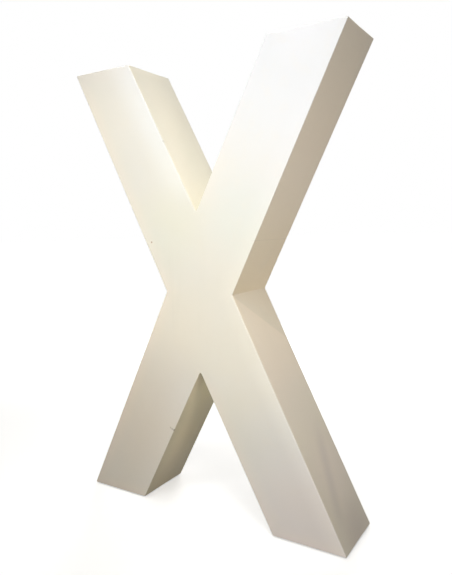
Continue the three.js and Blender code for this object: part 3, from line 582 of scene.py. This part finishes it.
MARKS = {
    "speck": ((-0.123, face_level, 0.612), 2.6 * mm, 0.75, (0.4, 0.25, 0.13)),
    "scratch, outer end": ((-0.0866, face_level, 0.1897), 3 * mm, 0.4, (0.44, 0.4, 0.28)),
    "scratch, middle": ((-0.0821, face_level, 0.1871), 3.2 * mm, 0.5, (0.4, 0.36, 0.25)),
    "scratch, inner end": ((-0.0765, face_level, 0.1851), 3.6 * mm, 0.75, (0.36, 0.31, 0.2)),
    "knock": ((-0.0799, face_level, 0.8295), 4.5 * mm, 0.5, (0.6, 0.57, 0.49)),
}


def edge_distances(x, z):
    """How far a place on the face lies from the outer and the inner edge on its right, and from the tips.

    Outer edges start at the side crotch and inner ones at the middle crotches. The distance to either
    is how far x lies from it at that height, times the cosine of its lean. The last two values are the
    height left to the tips' ends and the height past the middle crotches.
    """
    sizes = bpy.context.scene.letter_outline
    half_height, waist_rise = middle_height - shell_low.z, sizes.waist_height / 2
    outer_lean = (sizes.tip_outer_half - sizes.waist_half) / half_height
    inner_lean = sizes.tip_inner_half / (half_height - waist_rise)
    rise = abs(z - middle_height)
    outer = (sizes.waist_half + rise * outer_lean - x) * math.cos(math.atan(outer_lean))
    inner = ((waist_rise - rise) * inner_lean - x) * math.cos(math.atan(inner_lean))
    return outer, inner, half_height - rise, rise - waist_rise


def right_edge_highlights(x, z):
    """Painted highlights along the right edges of the limbs: the outer ones and the inner ones.

    The outer edges fade above the crossing, and the inner ones gain towards the upper tip.
    """
    outer, inner, _, above_crotch = edge_distances(x, z)
    outer_fade, inner_fade = 45 * mm, 75 * mm
    on_left = above_crotch.band(0, inner_fade) * (1 - x.band(-mm, mm))
    outer_highlight = (1 - outer.band(0, outer_fade)) * (1 - z.band(0.25, 0.48) * 0.6)
    inner_highlight = (1 - inner.band(0, inner_fade)) * on_left * (0.5 + z.band(0.4, 1.0) * 0.6)
    return outer_highlight, inner_highlight


def left_edges(x, z):
    """1 along the left edges and the ends of the limbs' faces, fading to 0 two fingers' width away."""
    outer, inner, to_tip, above_crotch = edge_distances(x * -1, z)
    fade = 40 * mm
    on_right = above_crotch.band(0, fade) * x.band(-mm, mm)
    side = (1 - outer.band(0, fade)).larger((1 - inner.band(0, fade)) * on_right)
    return side.larger(1 - to_tip.band(0, fade))


def opal_face(finish, tones, x, z, painted_sheen):
    """The face's colour: clouds of older plastic, a painted sheen on the upper right and lower right, painted
    shade on the lower left, patches of painted light and shade, painted highlights along the right edges and
    painted warm light along the left edges and tips.
    """
    clouds = finish.noise(4.5, 2, 0.5, 0.6)
    # Where the face carries painted shade on the lower left and a painted sheen on the lower right.
    low_left_shade = (1 - (x * 0.7 + z).band(-0.1, 0.42)) * (1 - x.band(-0.02, 0.1))
    low_right = x.band(0.05, 0.2) * (1 - z.band(0.12, 0.5))
    tone = finish.tint((clouds - 0.32) * 1.6, tones.opal, tones.opal_aged)
    # Painted shade makes the lower left duller and warmer; a painted sheen makes the upper right and the lower
    # right whiter.
    tone = finish.tint(low_left_shade * 0.75, tone, tones.opal_dull_and_shade)
    tone = finish.tint(painted_sheen * 0.9 + low_right * 0.4, tone, tones.opal_painted_sheen)
    # Patches of painted light and shade on the face.
    tone = paint_light_and_shade(finish, tone, FACE_LIGHT_AND_SHADE)
    # Painted highlights along the right edges, weaker under the painted sheen.
    outer_highlight, inner_highlight = right_edge_highlights(x, z)
    kept = 1 - painted_sheen * 0.6
    tone = finish.stain(tone, outer_highlight * kept, (1.1, 1.1, 1.1))
    tone = finish.stain(tone, inner_highlight * kept, (1.08, 1.105, 1.15))
    # Painted warm light along the left edges and the tips of the face.
    return finish.stain(tone, left_edges(x, z) * (1 - painted_sheen), (1.05, 1.022, 1.005))


def opal_side(finish, tones, x, y, z):
    """The side walls' colour: painted shade as a copy of the face's plastic that is yellower than the face, most
    of all under the limbs, with painted light and shade in the crotches.

    On the right the lower wall carries a painted shadow edge along a line that falls towards the back, lighter
    below it, and a darker streak rises towards the back further down.
    """
    waist_half = bpy.context.scene.letter_outline.waist_half
    shadow_line_slope, shadow_line_blur = 0.76, 4 * mm
    streak_slope, streak_start, streak_half = 0.43, -0.062, 0.03
    mottle = finish.noise(9, 2)
    tone = finish.tint(mottle.band(0.3, 0.7) * 0.3, tones.opal_shaded_walls, tones.opal_aged)
    right = x.band(waist_half - 5 * mm, waist_half)
    above = z.band(middle_height - mm, middle_height + mm)
    # A painted shadow edge on the lower right wall, falling towards the back.
    below_shadow_line = (middle_height - (y - face_level) * shadow_line_slope - z).band(0, shadow_line_blur)
    streak = 1 - abs(y - z * streak_slope - streak_start).band(0, streak_half)
    left = 1 - x.band(-0.01, 0.01)
    low_left_shade = left * (1 - z.band(0.34, 0.4))
    inner_side = finish.parts("Normal")[0].band(0, 0.1)
    front_edge = (1 - y.band(face_level, -0.02)) * z.band(0, 0.2) * (1 - z.band(0.22, 0.31))
    # Painted shade on the right wall above the crotch and above the painted shadow edge, painted light just below
    # that edge, a darker streak, painted shade on the lower left walls, deepest on their inner side near the
    # front, and painted light on the upper left walls.
    for mask, cast in (
        (right * above * (1 - z.band(0.5, 0.76)), (0.97, 0.93, 0.82)),
        (right * (1 - above) * (1 - below_shadow_line), (0.99, 0.98, 0.95)),
        (right * below_shadow_line * z.band(0.27, 0.37), (1.09, 1.06, 1.04)),
        (right * streak * z.band(0.03, 0.08) * (1 - z.band(0.16, 0.24)), (0.88, 0.88, 0.9)),
        (low_left_shade, (0.91, 0.885, 0.73)),
        (low_left_shade * inner_side * front_edge, (0.8, 0.81, 0.77)),
        (left * z.band(0.6, 0.8), (1.02, 1.04, 1.07)),
    ):
        tone = finish.stain(tone, mask, cast)
    # Patches of painted light and shade on the walls.
    return paint_light_and_shade(finish, tone, WALL_LIGHT_AND_SHADE)


def opal_shell(finish, tones):
    """Satin opal plastic: faint clouds, an even orange peel, fine dust in the pores and a few old marks, under
    painted light and shade.
    """
    seam_height, seam_half = 0.6145, 1.1 * mm
    mottle = finish.noise(38, 3, 0.6)
    peel = finish.noise(420, 2)
    pores = finish.cells(900)
    streaks = finish.noise(30, 3, 0.6, 0.3, stretch=(1, 1, 0.08))
    x, y, z = finish.parts()
    walls = y.band(face_level + 0.4 * mm, face_level + 1.7 * mm)
    # A painted sheen, whiter towards the upper right of the face.
    painted_sheen = (x * 0.6 + z * 0.8).band(0.48, 0.86) * (1 - walls)
    face_tone = opal_face(finish, tones, x, z, painted_sheen)
    # The walls take their painted shade from opal_side.
    tone = finish.tint(walls * 0.85, face_tone, opal_side(finish, tones, x, y, z))
    tone = finish.stain(tone, 1.0, (0.95, 0.95, 0.95))
    tone = finish.tint(mottle.band(0.45, 0.8) * 0.12, tone, tones.opal_dull_and_shade)
    waist = 1 - abs(z - middle_height).band(0.02, 0.2)
    tone = finish.tint(streaks.band(0.52, 0.72) * waist * 0.22, tone, shade(tones.opal_aged, 0.88))
    # Painted shade along the rounded edges, which dims their highlights.
    rounded = 1 - abs(abs(finish.parts("Normal")[1]) - 0.6).band(0.25, 0.38)
    tone = finish.stain(tone, rounded, (0.9, 0.9, 0.89))
    dents = 0.0
    for place, radius, strength, mark_tone in MARKS.values():
        mark = finish.spot(place, radius)
        tone = finish.tint(mark * strength, tone, mark_tone)
        dents = dents + mark
    dust = (1 - pores.band(0.0, 0.22)) * mottle.band(0.4, 0.7)
    tone = finish.tint(dust * 0.12, tone, shade(tones.opal_aged, 0.8))
    on_right = x.band(0.13, 0.135) * (1 - x.band(0.146, 0.15))
    seam = (1 - abs(z - seam_height).band(0, seam_half)) * on_right
    height = peel * 0.6 + mottle * 0.25 + pores.band(0, 0.3) * 0.15 - seam * 0.9 - dents
    gloss = tones.opal_roughness + (mottle - 0.5) * 0.1 + dust * 0.12
    tone = finish.tint(seam * 0.35, tone, shade(tones.opal_aged, 0.72))
    return finish.textured(tone, gloss, height, 0.16 * mm, 0.5, specular_ior_level=0.3)


def panel_sheet(finish, tones):
    """Extruded sheet with a leathery grain, rubbed smoother here and there."""
    grain = finish.cells(1400, "SMOOTH_F1")
    fine = finish.noise(2600, 2)
    wear = finish.noise(9, 4, 0.6)
    tone = finish.tint(wear.band(0.35, 0.75) * 0.5, tones.sheet, shade(tones.sheet, 0.9))
    gloss = 0.5 + (wear - 0.5) * 0.2 + grain * 0.1
    return finish.textured(tone, gloss, grain * 0.7 + fine * 0.3, 0.15 * mm, 0.6)


def seal_foam(finish, tones):
    """Closed cell foam."""
    cells = finish.cells(2400)
    tone = finish.tint(cells.band(0.1, 0.6), (0.02, 0.02, 0.02), (0.05, 0.05, 0.05))
    return finish.textured(tone, 0.95, cells, 0.3 * mm, 0.8)


def pad_rubber(finish, tones):
    """Moulded rubber with a dull bloom."""
    bloom = finish.noise(120, 4, 0.6)
    fine = finish.noise(3000, 2)
    tone = finish.tint(bloom.band(0.4, 0.8) * 0.6, tones.rubber, shade(tones.rubber, 2.2))
    return finish.textured(tone, 0.75 + (bloom - 0.5) * 0.2, fine, 0.08 * mm, 0.6)


def zinc_steel(finish, tones):
    """Zinc plated steel: a cool lustre with cloudy stains and fine rolling lines."""
    clouds = finish.noise(160, 4, 0.6, 0.5)
    lines = finish.noise(700, 3, 0.6, stretch=(0.05, 1, 1))
    warm = shade(tones.zinc, (0.9, 0.864, 0.774))
    tone = finish.tint(clouds.band(0.35, 0.75) * 0.7, tones.zinc, warm)
    return finish.textured(tone, 0.4 + clouds * 0.16 + lines * 0.1, lines, 0.03 * mm, 0.5, metallic=1.0)


def brass(finish, tones):
    """Turned brass, dulled in patches."""
    patches = finish.noise(240, 4, 0.6)
    turns = finish.noise(1800, 2, stretch=(1, 4, 1))
    tone = finish.tint(patches.band(0.4, 0.7), (0.58, 0.4, 0.14), (0.38, 0.25, 0.09))
    return finish.textured(tone, 0.28 + patches * 0.25, turns, 0.03 * mm, 0.5, metallic=1.0)


def bar_board(finish, tones):
    """White board with faint copper tracks under its mask."""
    tracks = finish.cells(220, "F1", 0.2, stretch=(1, 1, 0.15)).band(0.42, 0.46)
    fine = finish.noise(900)
    tone = finish.tint(tracks * 0.4, (0.84, 0.85, 0.83), (0.78, 0.77, 0.72))
    return finish.textured(tone, 0.35 + fine * 0.15, tracks, 0.05 * mm, 0.5)


def clear_lens(finish, tones):
    """Clear moulded plastic, slightly frosted by dust."""
    dust = finish.noise(500, 4, 0.65).band(0.5, 0.8)
    return finish.surface(
        base_color=finish.tint(dust * 0.4, (0.92, 0.95, 0.96), (0.8, 0.82, 0.8)),
        roughness=0.06 + dust * 0.2,
        transmission_weight=0.9,
        ior=1.49,
    )


def driver_case(finish, tones):
    """Off-white moulding with a spark textured skin."""
    grain = finish.noise(1900, 2)
    clouds = finish.noise(25)
    tone = finish.tint(clouds * 0.4, (0.76, 0.76, 0.72), (0.68, 0.67, 0.62))
    return finish.textured(tone, 0.55 + grain * 0.15, grain, 0.06 * mm, 0.6)


def circuit(finish, tones):
    """Green mask over copper tracks."""
    tracks = finish.cells(420, "F1", 0.35).band(0.38, 0.44)
    fine = finish.noise(1200, 2)
    tone = finish.tint(tracks, (0.012, 0.09, 0.035), (0.03, 0.17, 0.07))
    return finish.textured(tone, 0.3 + fine * 0.15, tracks, 0.05 * mm, 0.6)


def black_plastic(finish, tones):
    """Black moulding with a spark textured skin, dusty and a little greyed by handling."""
    grain = finish.noise(2200, 2)
    handled = finish.noise(60, 4, 0.6)
    tone = finish.tint(handled.band(0.45, 0.8) * 0.5, tones.black, shade(tones.black, 2.4))
    return finish.textured(tone, 0.4 + grain * 0.12 + (handled - 0.5) * 0.12, grain, 0.05 * mm, 0.5)


def fuse_glass(finish, tones):
    """Glass tube between plated caps, told apart by where they lie along the fuse."""
    low, high, middle = node_box("fuse")
    cap_start = (high[0] - low[0]) / 4
    capped = abs(finish.parts()[0] - middle[0]).band(0.98 * cap_start, cap_start)
    stains = finish.noise(700)
    return finish.surface(
        base_color=finish.tint(capped, (0.8, 0.84, 0.85), (0.62, 0.61, 0.58)),
        metallic=capped,
        roughness=0.08 + capped * 0.2 + stains * 0.08,
    )


def lead_sleeve(finish, tones):
    """White lead sleeve with a soft sheen and a little grime."""
    grime = finish.noise(90, 4, 0.6)
    fine = finish.noise(1500, 2)
    tone = finish.tint(grime.band(0.4, 0.8) * 0.4, (0.8, 0.79, 0.75), (0.62, 0.6, 0.54))
    return finish.textured(tone, 0.42 + grime * 0.12, fine, 0.04 * mm, 0.5)


def switch_mark(finish, tones):
    """White print on the rocker, slightly worn."""
    worn = finish.noise(1500, 4, 0.6)
    tone = finish.tint(worn.band(0.5, 0.8) * 0.5, (0.78, 0.78, 0.76), (0.45, 0.45, 0.44))
    return finish.surface(base_color=tone, roughness=0.45 + worn * 0.15)


MAKERS = {
    maker.__name__: maker
    for maker in (
        opal_shell, panel_sheet, seal_foam, pad_rubber, zinc_steel, brass, bar_board, clear_lens, driver_case,
        circuit, black_plastic, fuse_glass, lead_sleeve, switch_mark,
    )
}


def finish_for(slot):
    """The material of a slot, made the first time that it is asked for."""
    made = bpy.data.materials.get("finish_" + slot)
    if made is None:
        made = MAKERS[slot](Finish("finish_" + slot), bpy.context.scene.letter_finishes)
    return made


def slot_of(node):
    """The material slot that the record gives a node."""
    return next(row["material_slot"] for row in frame["record"]["subparts"] if row["node"] == node)


def place_piece(piece, node, body="letter"):
    """Lets a piece ride on a body and stand for a node, which it hides."""
    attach(piece, body)
    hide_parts(node)


def place_each(start, maker, suffix):
    """Makes a piece for every node whose name begins so, and places it."""
    for node in named_nodes(start):
        place_piece(surface_piece(node + suffix, finish_for(slot_of(node)), [maker(node)]), node)


def softened_copy(node, width, body="letter"):
    """Makes a copy of a node's solid with its flat faces whole again and its edges rounded."""
    merge, flat, sharp = 0.01 * mm, math.radians(0.2), math.radians(40)
    shape = bmesh.new()
    shape.from_mesh(frame["nodes"][node].data)
    bmesh.ops.remove_doubles(shape, verts=shape.verts, dist=merge)
    bmesh.ops.dissolve_limit(shape, angle_limit=flat, verts=shape.verts, edges=shape.edges)
    piece = shaped_object(bpy.data.meshes.new(node + "_soft"), shape, finish_for(slot_of(node)))
    if width > 0:
        bevel = piece.modifiers.new("soft_edges", "BEVEL")
        bevel.width = width
        bevel.segments = 2
        bevel.limit_method = "ANGLE"
        bevel.angle_limit = sharp
    evened = piece.modifiers.new("even_shading", "WEIGHTED_NORMAL")
    evened.weight = 100
    place_piece(piece, node, body)


def soften(widths):
    """Softens the nodes whose names begin so, each group to its own width. Leads have no edges."""
    for start, width in widths.items():
        for node in named_nodes(start):
            softened_copy(node, width)


# Operators


class LETTER_OT_shell(Operator):
    """Makes the moulded shell: its face, side walls, rim, ledge and hollow"""

    bl_idname = "letter.shell"
    bl_label = "Moulded shell"

    def execute(self, context):
        grids = shell_grids(context.scene.letter_outline)
        place_piece(surface_piece("moulded_shell", finish_for("opal_shell"), grids), "front_shell")
        return {"FINISHED"}


class LETTER_OT_carried(Operator):
    """Gives every solid that stays its finish"""

    bl_idname = "letter.carried"
    bl_label = "Carried parts"

    def execute(self, context):
        for row in frame["record"]["subparts"]:
            for holder in frame["nodes"][row["node"]].material_slots:
                holder.material = finish_for(row["material_slot"])
        return {"FINISHED"}


class LETTER_OT_panel(Operator):
    """Softens the edges of the back panel and the hanger plates"""

    bl_idname = "letter.panel"
    bl_label = "Back panel"

    def execute(self, context):
        soften({"back_panel": 0.5 * mm, "hanger_plate": 0.3 * mm})
        return {"FINISHED"}


def pan_screw(node):
    """A pan head screw with a cross recess.

    The head is a dome turned about its axis. The recess sinks the dome where the distance across either
    arm of the cross is under the arm's half width, and its floor rises towards the arms' ends.
    """
    low, high, middle = node_box(node)
    centre = middle * (1, 0, 1)
    radius, top, edge = (high[0] - low[0]) / 2, high[1], 0.1 * mm
    head, crown_share, crown_power = 0.6 * radius, 0.65, 0.9
    seat, shank = top - head, radius / 2
    angle = np.linspace(0, math.pi / 2, 26)[:, None]
    crown = np.hstack([radius * np.sin(angle) ** crown_power, top - head * crown_share * (1 - np.cos(angle))])
    under = [(radius, seat + edge), (radius - edge, seat), (shank, seat), (shank, low[1] + shank)]
    grid = turned(np.vstack([crown, under, (shank / 2, low[1]), (0, low[1])]), centre, 72)
    across = np.abs(grid[..., 0] - centre[0])
    over = np.abs(grid[..., 2] - centre[2])
    reach = np.hypot(across, over)
    arm_half, arm_taper, arm_length = 0.16 * radius, 0.35, 0.62 * radius
    side_slope, end_slope, floor_rise, recess = 0.08 * radius, 0.06 * radius, 0.55, 0.75 * head
    arm = arm_half * (1 - arm_taper * reach / radius)
    inside = smooth_step((arm - np.minimum(across, over)) / side_slope)
    inside = inside * smooth_step((arm_length - reach) / end_slope)
    depth = recess * (1 - floor_rise * reach / arm_length)
    grid[..., 1] -= np.where(grid[..., 1] > seat + 2 * edge, inside * np.clip(depth, 0, None), 0)
    return grid


class LETTER_OT_screws(Operator):
    """Makes every screw that shows: on the panel, at the driver and at the inlet"""

    bl_idname = "letter.screws"
    bl_label = "Screws"

    def execute(self, context):
        for start in ("panel_screw", "driver_screw", "inlet_screw"):
            place_each(start, pan_screw, "_cross")
        return {"FINISHED"}


def foot_pad(node):
    """A round pad with three shallow rings in its sole, and the stem and barb that hold it."""
    low, high, middle = node_box(node)
    radius = (high[0] - low[0]) / 2
    stem, barb = radius * 2 / 7, radius * 2.75 / 7
    top = shell_low.z - seat_gap
    barb_seat = shell_low.z + bpy.context.scene.letter_outline.wall + seat_gap
    edge, top_edge, ring_depth, ring_turn = 0.9 * mm, 0.4 * mm, 0.25 * mm, 18
    out = np.linspace(0, 1, 48)
    rings = ring_depth * smooth_step(np.sin(out * ring_turn) * 2 - 1)
    profile = np.concatenate([
        np.stack([out * (radius - edge), rings], axis=-1),
        arc((radius - edge, edge), edge, 270, 360, 5),
        arc((radius - top_edge, top - top_edge), top_edge, 0, 90, 3),
        [(stem, top), (stem, barb_seat), (barb, barb_seat), (stem / 2, high[2]), (0, high[2])],
    ])
    return turned(profile, middle * (1, 1, 0), 72, axis="z")


class LETTER_OT_feet(Operator):
    """Makes the four foot pads"""

    bl_idname = "letter.feet"
    bl_label = "Foot pads"

    def execute(self, context):
        place_each("foot_pad", foot_pad, "_moulded")
        return {"FINISHED"}


class LETTER_OT_inlet(Operator):
    """Softens the inlet, its pins, the fuse drawer and its fuse"""

    bl_idname = "letter.inlet"
    bl_label = "Inlet"

    def execute(self, context):
        soften({"inlet_housing": 0.35 * mm, "inlet_pin": 0.3 * mm})
        softened_copy("fuse_drawer", 0.3 * mm, "drawer")
        softened_copy("fuse", 0.2 * mm, "drawer")
        return {"FINISHED"}


def raised_mark(centre, slope, inner, outer, half):
    """A flat mark on a sloping face: a ring, or a bar with round ends.

    Its rows run round the section, by radius and height above the face. Each point is the centre plus the
    radius round it, with the upper half moved up the slope by half and the lower half moved down. A mark
    with no inner radius closes on its middle line.
    """
    sides, rise = 48, 0.08 * mm
    section = [(inner, -rise), (outer, -rise), (outer, rise), (inner, rise)]
    rows = np.array(section + section[:1] if inner else section)
    cos, sin = full_round(sides)
    across = rows[:, :1] * cos
    along = rows[:, :1] * sin + half * np.where(sin >= 0, 1, -1)
    above = np.broadcast_to(rows[:, 1:], across.shape)
    y = centre[1] + along * math.sin(slope) + above * math.cos(slope)
    z = centre[2] + along * math.cos(slope) - above * math.sin(slope)
    return np.stack([centre[0] + across, y, z], axis=-1)


class LETTER_OT_switch(Operator):
    """Softens the rocker and prints a bar and a ring on its two halves"""

    bl_idname = "letter.switch"
    bl_label = "Switch"

    def execute(self, context):
        softened_copy("switch_rocker", 0.4 * mm, "rocker")
        joint = next(row for row in frame["joints"] if row["child"] == "rocker")
        tilt = math.radians(joint["range_deg"][1] / 2)
        pivot = Vector(joint["pos_m"])
        sin, cos = math.sin(tilt), math.cos(tilt)
        # The rocker's ends rise so far from its axis, and its waist less. At rest its lower half is upright.
        half_height, rise = 6.2 * mm, 6 * mm
        waist = rise - half_height * sin / cos
        face = waist * cos
        lower = (half_height * cos + (rise + waist) * sin) / 2
        upper = (half_height * cos - (rise + waist) * sin) / 2
        climb = (half_height * sin + (rise - waist) * cos) / 2
        outer, inner, stroke = 1.8 * mm, 1.25 * mm, 0.28 * mm
        ring = raised_mark(pivot + Vector((0, face, -lower)), 0, inner, outer, 0)
        bar = raised_mark(pivot + Vector((0, face + climb, upper)), 2 * tilt, 0, stroke, outer - stroke)
        for name, grid in (("mark_off", ring), ("mark_on", bar)):
            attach(surface_piece(name, finish_for("switch_mark"), [grid]), "rocker")
        return {"FINISHED"}


class LETTER_OT_inside(Operator):
    """Softens what lies inside: seal, inserts, light bars, lenses, driver and leads"""

    bl_idname = "letter.inside"
    bl_label = "Inside"

    def execute(self, context):
        soften({"panel_gasket": 0.3 * mm, "panel_insert": 0.15 * mm, "light_bar": 0.12 * mm})
        soften({"lens_strip": 0.15 * mm, "driver_base": 0.5 * mm, "driver_cover": 0.6 * mm})
        soften({"driver_circuit": 0.2 * mm, "mains_lead": 0.3 * mm, "feed_lead": 0, "link_lead": 0})
        return {"FINISHED"}


def area_lamp(level, name, place, target, width, spread, power, tone):
    """A square soft lamp that looks at a target and spreads its light over so many degrees.

    The back lamp shows in no reflection, because the hanger plates would mirror it as plain white.
    """
    lamp = bpy.data.lights.new(name, "AREA")
    lamp.size = width
    lamp.spread = math.radians(spread)
    lamp.energy = power * level
    lamp.color = tone
    obj = linked_object(lamp)
    obj.visible_camera = False
    obj.visible_glossy = name != "back_fill"
    look = (Vector(target) - Vector(place)).to_track_quat("-Z", "Y")
    obj.matrix_world = Matrix.LocRotScale(Vector(place), look, None)


class LETTER_OT_stage(Operator):
    """Makes the floor, the lamps, the world and the camera"""

    bl_idname = "letter.stage"
    bl_label = "Studio"

    def execute(self, context):
        studio = context.scene.letter_studio
        self.make_floor(studio)
        self.make_world(studio)
        for row in LAMPS:
            area_lamp(studio.lamp_level, *row)
        self.make_camera()
        context.scene.view_settings.view_transform = "Standard"
        return {"FINISHED"}

    def make_floor(self, studio):
        """A wide round floor. The camera sees it white but for shadows, and all white further out."""
        radius, sides, shadow_end, white_start = 30, 96, 0.9, 2.2
        disc = turned([(0, 0), (radius, 0)], (0, 0, 0), sides, axis="z")
        finish = Finish("floor")
        seen = finish.seen_or_mirrored()
        away = finish.vectors("LENGTH", finish.place())
        glow = seen * (0.5 + away.band(shadow_end, white_start) * 0.5)
        finish.surface(
            base_color=finish.tint(seen, studio.floor_bounce, studio.floor),
            roughness=0.9 + finish.noise(3) * 0.05,
            specular_ior_level=0.0,
            emission_color=finish.tint(glow, (0, 0, 0), (1, 1, 1)),
            emission_strength=1.0,
        )
        surface_piece("floor", finish.material, [disc])

    def make_world(self, studio):
        """White to the camera and in reflections, and on the object a soft sky over a dull ground."""
        world = bpy.data.worlds.new("studio")
        bpy.context.scene.world = world
        finish = Finish("studio", world)
        dim = shade(studio.sky_tone, studio.sky)
        finish.feed(finish.shader.inputs["Color"], finish.tint(finish.seen_or_mirrored(), dim, (1, 1, 1)))

    def make_camera(self):
        """The photograph's camera: its place, its roll, tilt and turn, and its focal length in pixels."""
        place, roll, tilt, yaw = Vector((0.6831, -1.0497, 0.6454)), -1.215, -6.297, 32.072
        focal_pixels, frame_pixels, film = 559.9, 575, 36.0
        turns = ((yaw, "Z"), (90 + tilt, "X"), (roll, "Z"))
        about_z, about_x, about_view = (Matrix.Rotation(math.radians(by), 4, axis) for by, axis in turns)
        camera = bpy.data.cameras.new("camera")
        camera.sensor_width = film
        camera.sensor_fit = "AUTO"
        camera.lens = film * focal_pixels / frame_pixels
        camera.clip_end = 200
        obj = linked_object(camera)
        obj.matrix_world = Matrix.Translation(place) @ about_z @ about_x @ about_view
        bpy.context.scene.camera = obj


class LETTER_PT_sidebar(Panel):
    """Lists the letter's settings and operators"""

    bl_idname = "LETTER_PT_sidebar"
    bl_label = "Light-up letter"
    bl_space_type = "VIEW_3D"
    bl_region_type = "UI"
    bl_category = "Letter"

    def draw(self, context):
        layout = self.layout
        for operator in OPERATORS:
            layout.operator(operator.bl_idname)
        for owner in SETTINGS:
            group = getattr(context.scene, owner)
            box = layout.box()
            for name in group.__annotations__:
                box.prop(group, name)


SETTINGS = {
    "letter_outline": LetterOutlineSettings,
    "letter_finishes": LetterFinishSettings,
    "letter_studio": LetterStudioSettings,
}
OPERATORS = (
    LETTER_OT_stage, LETTER_OT_carried, LETTER_OT_shell, LETTER_OT_panel, LETTER_OT_screws, LETTER_OT_feet,
    LETTER_OT_inlet, LETTER_OT_switch, LETTER_OT_inside,
)


def register():
    for name, group in SETTINGS.items():
        bpy.utils.register_class(group)
        setattr(bpy.types.Scene, name, PointerProperty(type=group))
    for made in (*OPERATORS, LETTER_PT_sidebar):
        bpy.utils.register_class(made)


def unregister():
    for made in (LETTER_PT_sidebar, *reversed(OPERATORS)):
        bpy.utils.unregister_class(made)
    for name, group in SETTINGS.items():
        delattr(bpy.types.Scene, name)
        bpy.utils.unregister_class(group)


def main():
    """Builds everything in order."""
    register()
    for operator in OPERATORS:
        group, name = operator.bl_idname.split(".")
        getattr(getattr(bpy.ops, group), name)()


if __name__ == "__main__":
    main()
